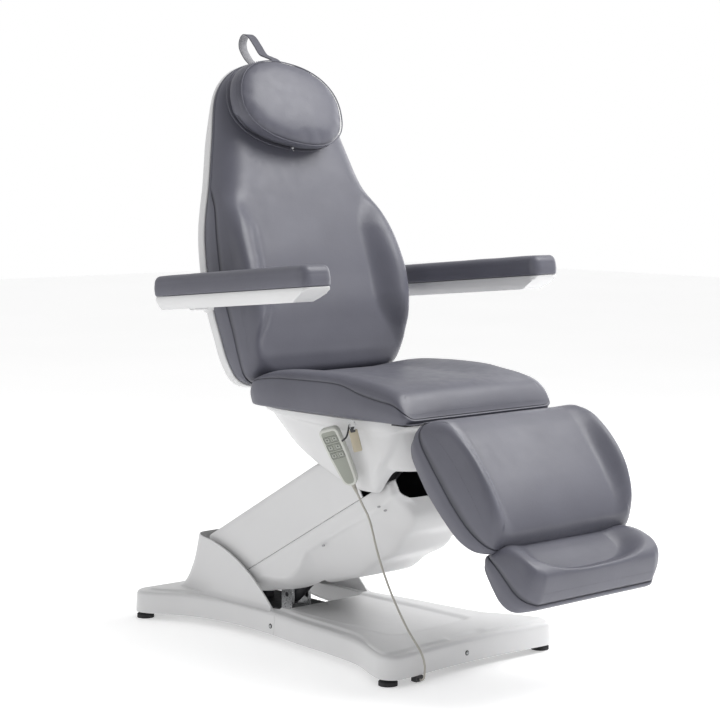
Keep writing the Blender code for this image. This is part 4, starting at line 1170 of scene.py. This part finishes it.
def shroud_path(z, outer, flare):
    """The shroud's plan at a height: from one forward edge, round the rear, to the other."""
    rear = float(np.interp(z, *spline(FIN_REAR, 6).T)) + flare
    front = FIN_ARC[0][0] - math.sqrt(FIN_ARC[1] ** 2 - (z - FIN_ARC[0][1]) ** 2)
    half = outer + flare
    corner = FIN_CORNER
    side = np.stack([np.full(26, half), np.linspace(front, rear - corner, 26)], axis=1)
    turn = arc((half - corner, rear - corner), corner, 0.0, 90.0, 10)
    right = np.vstack([side, turn[1:]])
    across = np.stack([np.linspace(half - corner, 0.0, 10)[1:], np.full(9, rear)], axis=1)
    right = np.vstack([right, across])
    return np.vstack([right, (right * (-1, 1))[-2::-1]])


def shroud():
    """The wall round the arm's foot: a fillet on the deck, a plain wall that leans in, and a rounded lip."""
    heights = [(z, 0.0) for z in DECK - 0.001 + FILLET * (1 - np.cos(np.radians((0, 20, 40, 60, 75, 90))))]
    heights += [(z, 0.0) for z in np.linspace(DECK + FILLET + 0.006, FIN_TOP - 0.004, 22)]
    heights += [(FIN_TOP - drop, over) for drop, over in LIP]
    rings = []
    for z, over in heights:
        s = min(1.0, max(0.0, (z - DECK + 0.001) / FILLET))
        flare = FILLET * (1.0 - math.sqrt(max(0.0, 1.0 - (1.0 - s) ** 2)))
        half = FIN_OUTER - FIN_LEAN * smooth(z, 0.09, FIN_TOP) ** 1.5
        outside = shroud_path(z, half - over, flare)
        inside = shroud_path(z, half - FIN_WALL + over, 0.0)
        inside[:, 1] = np.minimum(inside[:, 1], outside[:, 1].max() - FIN_WALL)
        ring = np.vstack([outside, inside[::-1]])
        tilt = 0.16 * np.clip(ring[:, 1] - 0.402, 0.0, 0.05) * smooth(z, 0.17, FIN_TOP)
        rings.append(level(ring, z + tilt))
    skin("base_shroud", in_bed(rings), "base", WHITE, angle=42.0)


shroud()

# ---- Arm covers ----
ARM_HALF = 0.145
ARM_WALL = 0.003
WINDOW_HALF, WINDOW_LOW, WINDOW_HIGH, WINDOW_TOP = 0.098, -0.335, -0.062, -0.07
ARM_TOP = 0.096
ARM_SEAM = -0.0430
UPPER_START, UPPER_END = 0.012, 0.610
UPPER_DROP, DROP_START = 0.034, 0.47
LOWER_START, LOWER_BEND, LOWER_END = 0.072, 0.64, 0.722
NOSE_PINCH, NOSE_START = 0.012, 0.695


def rounded(points, times=3):
    """Corner cutting on an open line, which keeps its ends."""
    p = np.asarray(points, float)
    for _ in range(times):
        cut = np.stack([0.75 * p[:-1] + 0.25 * p[1:], 0.25 * p[:-1] + 0.75 * p[1:]], axis=1).reshape(-1, 2)
        p = np.vstack([p[:1], cut[1:-1], p[-1:]])
    return p


def arm_section(half, along):
    whole = np.vstack([half, (half * (-1, 1))[::-1]])
    return np.column_stack([whole[:, 0], np.full(len(whole), along), whole[:, 1]])


def arm_cover(name, rings):
    """An open cover over its sections; the caller may open it further before it gets its wall."""
    return skin(name, in_arm(rings), "lift_arm", WHITE, closed=False)


def arm_cover_upper():
    rings = []
    for along in np.linspace(UPPER_START, UPPER_END, 40):
        top = ARM_TOP - UPPER_DROP * smooth(along, DROP_START, UPPER_END) ** 1.4
        half = rounded([(ARM_HALF - 0.0022, ARM_SEAM + 0.0004), (ARM_HALF, ARM_SEAM + 0.0026),
                        (ARM_HALF, 0.0), (ARM_HALF, top - 0.030), (ARM_HALF - 0.0015, top - 0.004),
                        (ARM_HALF - 0.016, top), (0.07, top + 0.0012), (0.0, top + 0.0015)])
        rings.append(arm_section(half, along))
    walled(arm_cover("arm_cover_upper_look", rings), ARM_WALL)


FOLD = ((0.072, -0.086), (0.121, -0.087), (0.167, -0.088), (0.215, -0.108), (0.258, -0.121), (0.305, -0.114),
        (0.344, -0.093), (0.373, -0.086), (0.50, -0.086), (0.628, -0.091), (0.709, -0.083), (0.722, -0.080))
BELLY = ((0.072, -0.0875), (0.085, -0.090), (0.150, -0.122), (0.250, -0.152), (0.360, -0.172),
         (0.450, -0.194), (0.520, -0.188), (0.590, -0.190), (0.640, -0.168), (0.675, -0.160),
         (0.700, -0.140), (0.722, -0.095))


def arm_cover_lower():
    fold, belly = spline(FOLD, 8), spline(BELLY, 8)
    stations = np.concatenate([np.linspace(LOWER_START, LOWER_BEND, 84), np.linspace(0.645, LOWER_END, 22)])
    rings = []
    for along in stations:
        low = float(np.interp(along, *belly.T))
        crease = max(float(np.interp(along, *fold.T)), low + 0.002)
        depth = crease - low
        pull = min(1.0, depth / 0.030)
        nose = NOSE_PINCH * smooth(along, NOSE_START, LOWER_END) ** 2
        side = ARM_HALF - nose
        half = rounded([(0.0, low), (0.06, low), (side - 0.060 * pull, low + 0.0005),
                        (side - 0.046 * pull, low + 0.14 * depth),
                        (side - 0.013 * pull, crease - 0.008 * pull), (side, crease + 0.004),
                        (side, crease + 0.016), (side, ARM_SEAM - 0.012),
                        (side, ARM_SEAM - 0.0030), (side - 0.0022, ARM_SEAM - 0.0004)])
        rings.append(arm_section(half[::-1], along))
    inverse = ARM.inverted()

    def window(place):
        p = inverse @ place
        return abs(p.x) < WINDOW_HALF and WINDOW_LOW < p.y < WINDOW_HIGH and p.z < WINDOW_TOP

    walled(drop_faces(arm_cover("arm_cover_lower_look", rings), window), ARM_WALL)


arm_cover_upper()
arm_cover_lower()
PLUGS = ((0.4214, -0.0940), (0.652, -0.0840), (0.668, -0.1000))
PLUG_STRETCH = Matrix.Diagonal((1.9, 1.0, 1.0, 1.0))
PLUG_CAP = ((0.0003, 0.0003), (0.0012, 0.0004), (0.0016, 0.0009), (0.0024, 0.0008), (0.0027, -0.002))

# Small oval caps over the screws that hold the lower cover.
for side, name in SIDES:
    face = ARM.to_3x3() @ Vector((side, 0.0, 0.0))
    for i, (along, height) in enumerate(PLUGS):
        place = put(ARM, (side * (ARM_HALF + 0.0002), -along, height))
        hold = frame_at(place, face, (0.0, 0.25, 1.0)) @ PLUG_STRETCH
        lathe(f"arm_plug_{name}_{i}", PLUG_CAP, hold, "lift_arm", PLUG, 20)

# ---- Pedestal bowl ----
BOWL_CENTRE = -0.100
BOWL_TOP = 0.5968
BOWL_LOW = 0.415
NOSE_ROOM = 0.056
BOWL_SQUARE = 0.46
BOWL_POINTS = 220
BOWL_WIDE, BOWL_LONG = 0.236, 0.262
BOWL_TAPER = 0.23
BOWL_WALL = 0.003
REAR_START, REAR_RUN = -0.200, 0.360
NOSE_FRONT, NOSE_SIDE = (0.235, 0.285), (0.170, 0.196)
REAR_RISE = 0.161


def bowl_ring(depth, grow):
    """A plan ring of the bowl at a share of its depth. Its lower edge rises towards the rear, and at the
    front makes room for the arm's nose."""
    wide = BOWL_WIDE * (1.0 - BOWL_TAPER * depth**1.5) + grow
    x, y = oval(wide, BOWL_LONG - 0.016 * depth + grow, BOWL_SQUARE, BOWL_POINTS)
    y = BOWL_CENTRE + y
    rise = REAR_RISE * np.clip((y - REAR_START) / REAR_RUN, 0.0, 1.0) ** 1.5
    rise = rise + NOSE_ROOM * smooth(-y, *NOSE_FRONT) * (1.0 - smooth(np.abs(x), *NOSE_SIDE))
    return np.column_stack([x, y, BOWL_TOP + (BOWL_LOW + rise - BOWL_TOP) * depth])


RIM = ((0.0, -0.012), (0.0, -0.002), (0.012, 0.0), (0.07, 0.0005), (0.13, 0.0), (0.150, -0.0015),
       (0.165, -0.0055), (0.19, -0.0075))
BODY = tuple((d, -0.0078 - 0.002 * math.sin(math.pi * d)) for d in np.linspace(0.23, 0.92, 22))
LOW_EDGE = ((0.95, -0.0085), (0.975, -0.0105), (0.992, -0.0145), (1.0, -0.020))
bowl_rings = [bowl_ring(depth, grow) for depth, grow in RIM + BODY + LOW_EDGE]
walled(skin("pedestal_cover_look", in_bed(bowl_rings), "pedestal", WHITE, caps=False), BOWL_WALL)

# ---- Handset ----
HANDSET_TOP = Vector((-0.2620, -0.190, 0.583))
HANDSET_BOTTOM = Vector((-0.1960, -0.206, 0.446))
HANDSET_HALF, HANDSET_THICK = 0.025, 0.020
BUTTON_ROWS = (0.050, 0.029, 0.008)
BUTTON_COLUMNS = (-0.0095, 0.0095)
BUTTON_HALF = (0.0070, 0.0065)
KEY_SINK, KEY_RISE = 0.0012, 0.0009
FILM_SINK, FILM_RISE = 0.0034, 0.00004
FILM_INSET = 0.0062
ARROW_TURNS = ((180.0, 0.0), (-90.0, 90.0), (180.0, 0.0))


def handset_frame():
    long_way = (HANDSET_TOP - HANDSET_BOTTOM).normalized()
    lean = Vector((-1.0, 0.0, -0.42))
    out = (lean - long_way * lean.dot(long_way)).normalized()
    turn = Matrix((long_way.cross(out), long_way, out)).transposed().to_4x4()
    return BED @ Matrix.Translation((HANDSET_TOP + HANDSET_BOTTOM) / 2) @ turn


HANDSET_TURN = math.radians(28.0)
HANDSET_OUT = 0.006


def turned_handset():
    """The case turned about its long axis towards the front, and a little further out on its hook."""
    middle = Matrix.Translation((0.0, 0.0, HANDSET_THICK / 2))
    step = Matrix.Translation((0.0, 0.0, HANDSET_OUT))
    return handset_frame() @ step @ middle @ Matrix.Rotation(HANDSET_TURN, 4, "Y") @ middle.inverted()


HANDSET = turned_handset()
HANDSET_END = (HANDSET_TOP - HANDSET_BOTTOM).length / 2


in_handset = placer(HANDSET)


def handset_outline(shrink=0.0):
    """Right half of the case: wide round top, narrowing to a round tail."""
    half = HANDSET_HALF
    side = [(0.0, -HANDSET_END), (0.008, -HANDSET_END + 0.0012), (0.0155, -HANDSET_END + 0.0075),
            (0.0195, -HANDSET_END + 0.020), (0.0222, -0.025), (half - 0.0005, 0.010), (half, 0.045)]
    corner = arc((half - 0.013, HANDSET_END - 0.013), 0.013, 0.0, 90.0, 8)
    line = np.vstack([spline(side, 6), corner, [(0.0, HANDSET_END)]])
    loop = outline_of(line, 3, 160)
    return loop - shrink * outward(loop)


def slab(name, loop, low, high, edge, look, body="handset", placed=in_handset):
    """A flat plate with softened edges over a closed outline."""
    n = outward(loop)
    steps = ((edge, low), (edge * 0.3, low + edge * 0.3), (0.0, low + edge), (0.0, high - edge),
             (edge * 0.3, high - edge * 0.3), (edge, high))
    skin(name, placed([level(loop - inset * n, z) for inset, z in steps]), body, look, angle=35.0)


slab("handset_body_look", handset_outline(), 0.0, HANDSET_THICK, 0.0042, CREAM)
slab("handset_film", handset_outline(FILM_INSET), HANDSET_THICK - FILM_SINK, HANDSET_THICK + FILM_RISE,
     0.0002, SAGE)


def printed_line(name, centre, half, corner, width, low, high, body="handset"):
    """A thin raised outline round a rounded box, like print on the film."""
    outer = outline_of(rounded_box(half[0], -half[1], half[1], corner), 1, 60) + centre
    inner = outer - width * outward(outer)
    steps = ((outer, low), (outer, high), (inner, high), (inner, low))
    rings = [level(line, HANDSET_THICK + z) for line, z in steps]
    skin(name, in_handset(rings), body, INK, caps=False)


def arrow(name, body, centre, turn, size):
    """A generic triangle printed on a key."""
    a = math.radians(turn) + np.radians((90.0, 210.0, 330.0))
    flat = np.stack([centre[0] + size * np.cos(a), centre[1] + size * np.sin(a)], axis=1)
    skin(name, in_handset([level(flat, HANDSET_THICK + z) for z in (0.0010, 0.00122)]), body, INK)


def key(number, centre, turn):
    """One film key with its printed border and arrow."""
    body = f"button_{number}"
    loop = outline_of(rounded_box(BUTTON_HALF[0], -BUTTON_HALF[1], BUTTON_HALF[1], 0.0022), 1, 48) + centre
    slab(f"handset_{body}_look", loop, HANDSET_THICK - KEY_SINK, HANDSET_THICK + KEY_RISE, 0.0004, KEY,
         body)
    inside = (BUTTON_HALF[0] - 0.0008, BUTTON_HALF[1] - 0.0008)
    printed_line(f"key_border_{number}", centre, inside, 0.002, 0.0006, 0.0010, 0.0013, body)
    arrow(f"key_arrow_{number}", body, (centre[0], centre[1] + 0.0004), turn, 0.0030)


for pair, (row, turns) in enumerate(zip(BUTTON_ROWS, ARROW_TURNS)):
    printed_line(f"key_outline_{row:.3f}", (0.0, row), (0.0180, 0.0084), 0.003, 0.0007, 0.0, 0.0004)
    for place, column in enumerate(BUTTON_COLUMNS):
        key(2 * pair + place + 1, (column, row), turns[place])

RELIEF_LONG, RELIEF_STEPS = 0.0208, 7
relief_top = (0.0, -HANDSET_END + 0.002, HANDSET_THICK / 2)
RELIEF = HANDSET @ Matrix.Translation(relief_top) @ Matrix.Rotation(math.radians(90), 4, "X")
profile = [(0.0005, 0.0), (0.0056, 0.0), (0.0058, 0.002)]
for i in range(RELIEF_STEPS):
    z = 0.0045 + RELIEF_LONG * i / RELIEF_STEPS
    r = 0.0052 - 0.0019 * i / RELIEF_STEPS
    profile += [(r, z - 0.0004), (r, z + 0.0014), (r - 0.0010, z + 0.0018), (r - 0.0010, z + 0.0024)]
profile += [(0.0031, 0.0272), (0.0029, 0.0278), (0.0005, 0.0278)]
lathe("cord_relief_look", profile, RELIEF, "handset", CORD, 24, slot="handset_shell")


# ---- Cord ----
CORD_RADIUS = 0.0026
CORD_POINTS = 120
TAIL = HANDSET @ Vector((0.0, -HANDSET_END - 0.026, HANDSET_THICK / 2))
DOWN = -(HANDSET.to_3x3() @ Vector((0.0, 1.0, 0.0)))
CORD_ROUTE = (
    (-0.1790, -0.231, 0.350),
    (-0.1800, -0.263, 0.270),
    (-0.1850, -0.312, 0.190),
    (-0.1905, -0.370, 0.120),
    (-0.1935, -0.418, 0.075),
    (-0.1925, -0.4305, 0.045),
    (-0.1915, -0.4291, 0.0200),
)
CORD_BEND = ((-0.4176, 0.0196), 0.0114, 180.0, 270.0, 8)
CORD_END = (-0.1905, -0.4137, 0.0082)


def cord_path():
    """From the handset's tail, down in one curve, and round into the gland at the base's front edge."""
    route = [tuple(TAIL + DOWN * 0.0004), tuple(TAIL + DOWN * 0.030)]
    route += [tuple(put(BED, p)) for p in CORD_ROUTE]
    route += [tuple(put(BED, (-0.1915, y, z))) for y, z in arc(*CORD_BEND)[1:]]
    route.append(tuple(put(BED, CORD_END)))
    return resample(spline(route, 10), CORD_POINTS)


path = cord_path()
cord = skin("handset_cord_look", tube(path, CORD_RADIUS, 12), None, CORD,
            node=("handset_cord", "cord_floor_loop"))
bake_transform(cord)

# ---- Tag on its clip ----
TAG_FRAME = frame_at(put(BED, (-0.2560, -0.2590, 0.5650)), (-0.80, -0.58, 0.0), (-0.30, 0.10, 1.0))
in_tag = placer(TAG_FRAME)
tag_loop = outline_of(rounded_box(0.0105, -0.040, 0.012, 0.003), 1, 60)
slab("cord_tag", tag_loop, 0.0, 0.0032, 0.0008, TAG, "pedestal", in_tag)
clip_loop = outline_of(rounded_box(0.0060, 0.006, 0.019, 0.002), 1, 40)
slab("cord_tag_clip", clip_loop, 0.0034, 0.0054, 0.0006, BLACK_PLASTIC, "pedestal", in_tag)
clip_wire = ((0.004, 0.012, 0.0060), (0.010, 0.024, 0.0080), (0.006, 0.034, 0.0060), (-0.004, 0.031, 0.0050),
             (-0.004, 0.016, 0.0050))
skin("cord_tag_wire", tube(in_tag(resample(spline(clip_wire, 6), 26)), 0.0011, 8), "pedestal", STEEL)

# ---- Screws ----
SCREWS = {
    "side_left": (-0.187, 0.121, 0.0385), "side_right": (0.187, 0.121, 0.0385),
    "front": (-0.024, -0.402, 0.0400), "rear": (0.0, 0.578, 0.0400),
}
SCREW_CUP = ((0.0003, 0.0003), (0.0044, 0.0003), (0.0052, 0.0010), (0.0060, 0.0008), (0.0062, -0.001))
SCREW_HEAD = ((0.0003, 0.0016), (0.0011, 0.0017), (0.0014, 0.0026), (0.0026, 0.0025), (0.0036, 0.0017),
              (0.0038, 0.0002))
SCREW_SUNK = 0.0012

# Each screw sits at the nearest point of the skirt's outline, facing out of it.
for name, (x, y, z) in SCREWS.items():
    nearest = int(np.argmin(np.hypot(BASE_LOOP[:, 0] - x, BASE_LOOP[:, 1] - y)))
    out = outward(BASE_LOOP)[nearest]
    hold = frame_at(put(BED, (*(BASE_LOOP[nearest] - SCREW_SUNK * out), z)), (*out, 0.0))
    # Each screw's cup is painted shade: near-black where its recess lies in shadow.
    lathe(f"base_screw_{name}_cup", SCREW_CUP, hold, "base", SHADOW, 28)
    lathe(f"base_screw_{name}", SCREW_HEAD, hold, "base", STEEL, 24)

# ---- CAD nodes that keep their shape ----
KEPT = (
    (BLACK_STEEL, ("base_frame", "pivot_bracket", "lift_arm_frame", "parallel_link", "seat_frame",
                   "pedestal_bracket", "recline_bearing", "knee_bearing", "back_frame", "leg_frame")),
    (STEEL, ("actuator_clevis", "arm_lower_shaft", "arm_upper_shaft", "lift_actuator_pin",
             "lift_actuator_rod",
             "back_actuator_rod", "leg_actuator_rod", "recline_shaft", "knee_shaft", "foot_slide_frame")),
    (RUBBER, ("foot_front_left", "foot_front_right", "foot_rear_left", "foot_rear_right")),
    (BLACK_PLASTIC, ("power_inlet", "cord_gland", "lift_actuator_tube", "back_actuator_tube",
                     "leg_actuator_tube", "control_box", "handset_hook")),
)
for look, names in KEPT:
    for name in names:
        for slot in bpy.data.objects[name].material_slots:
            slot.material = look
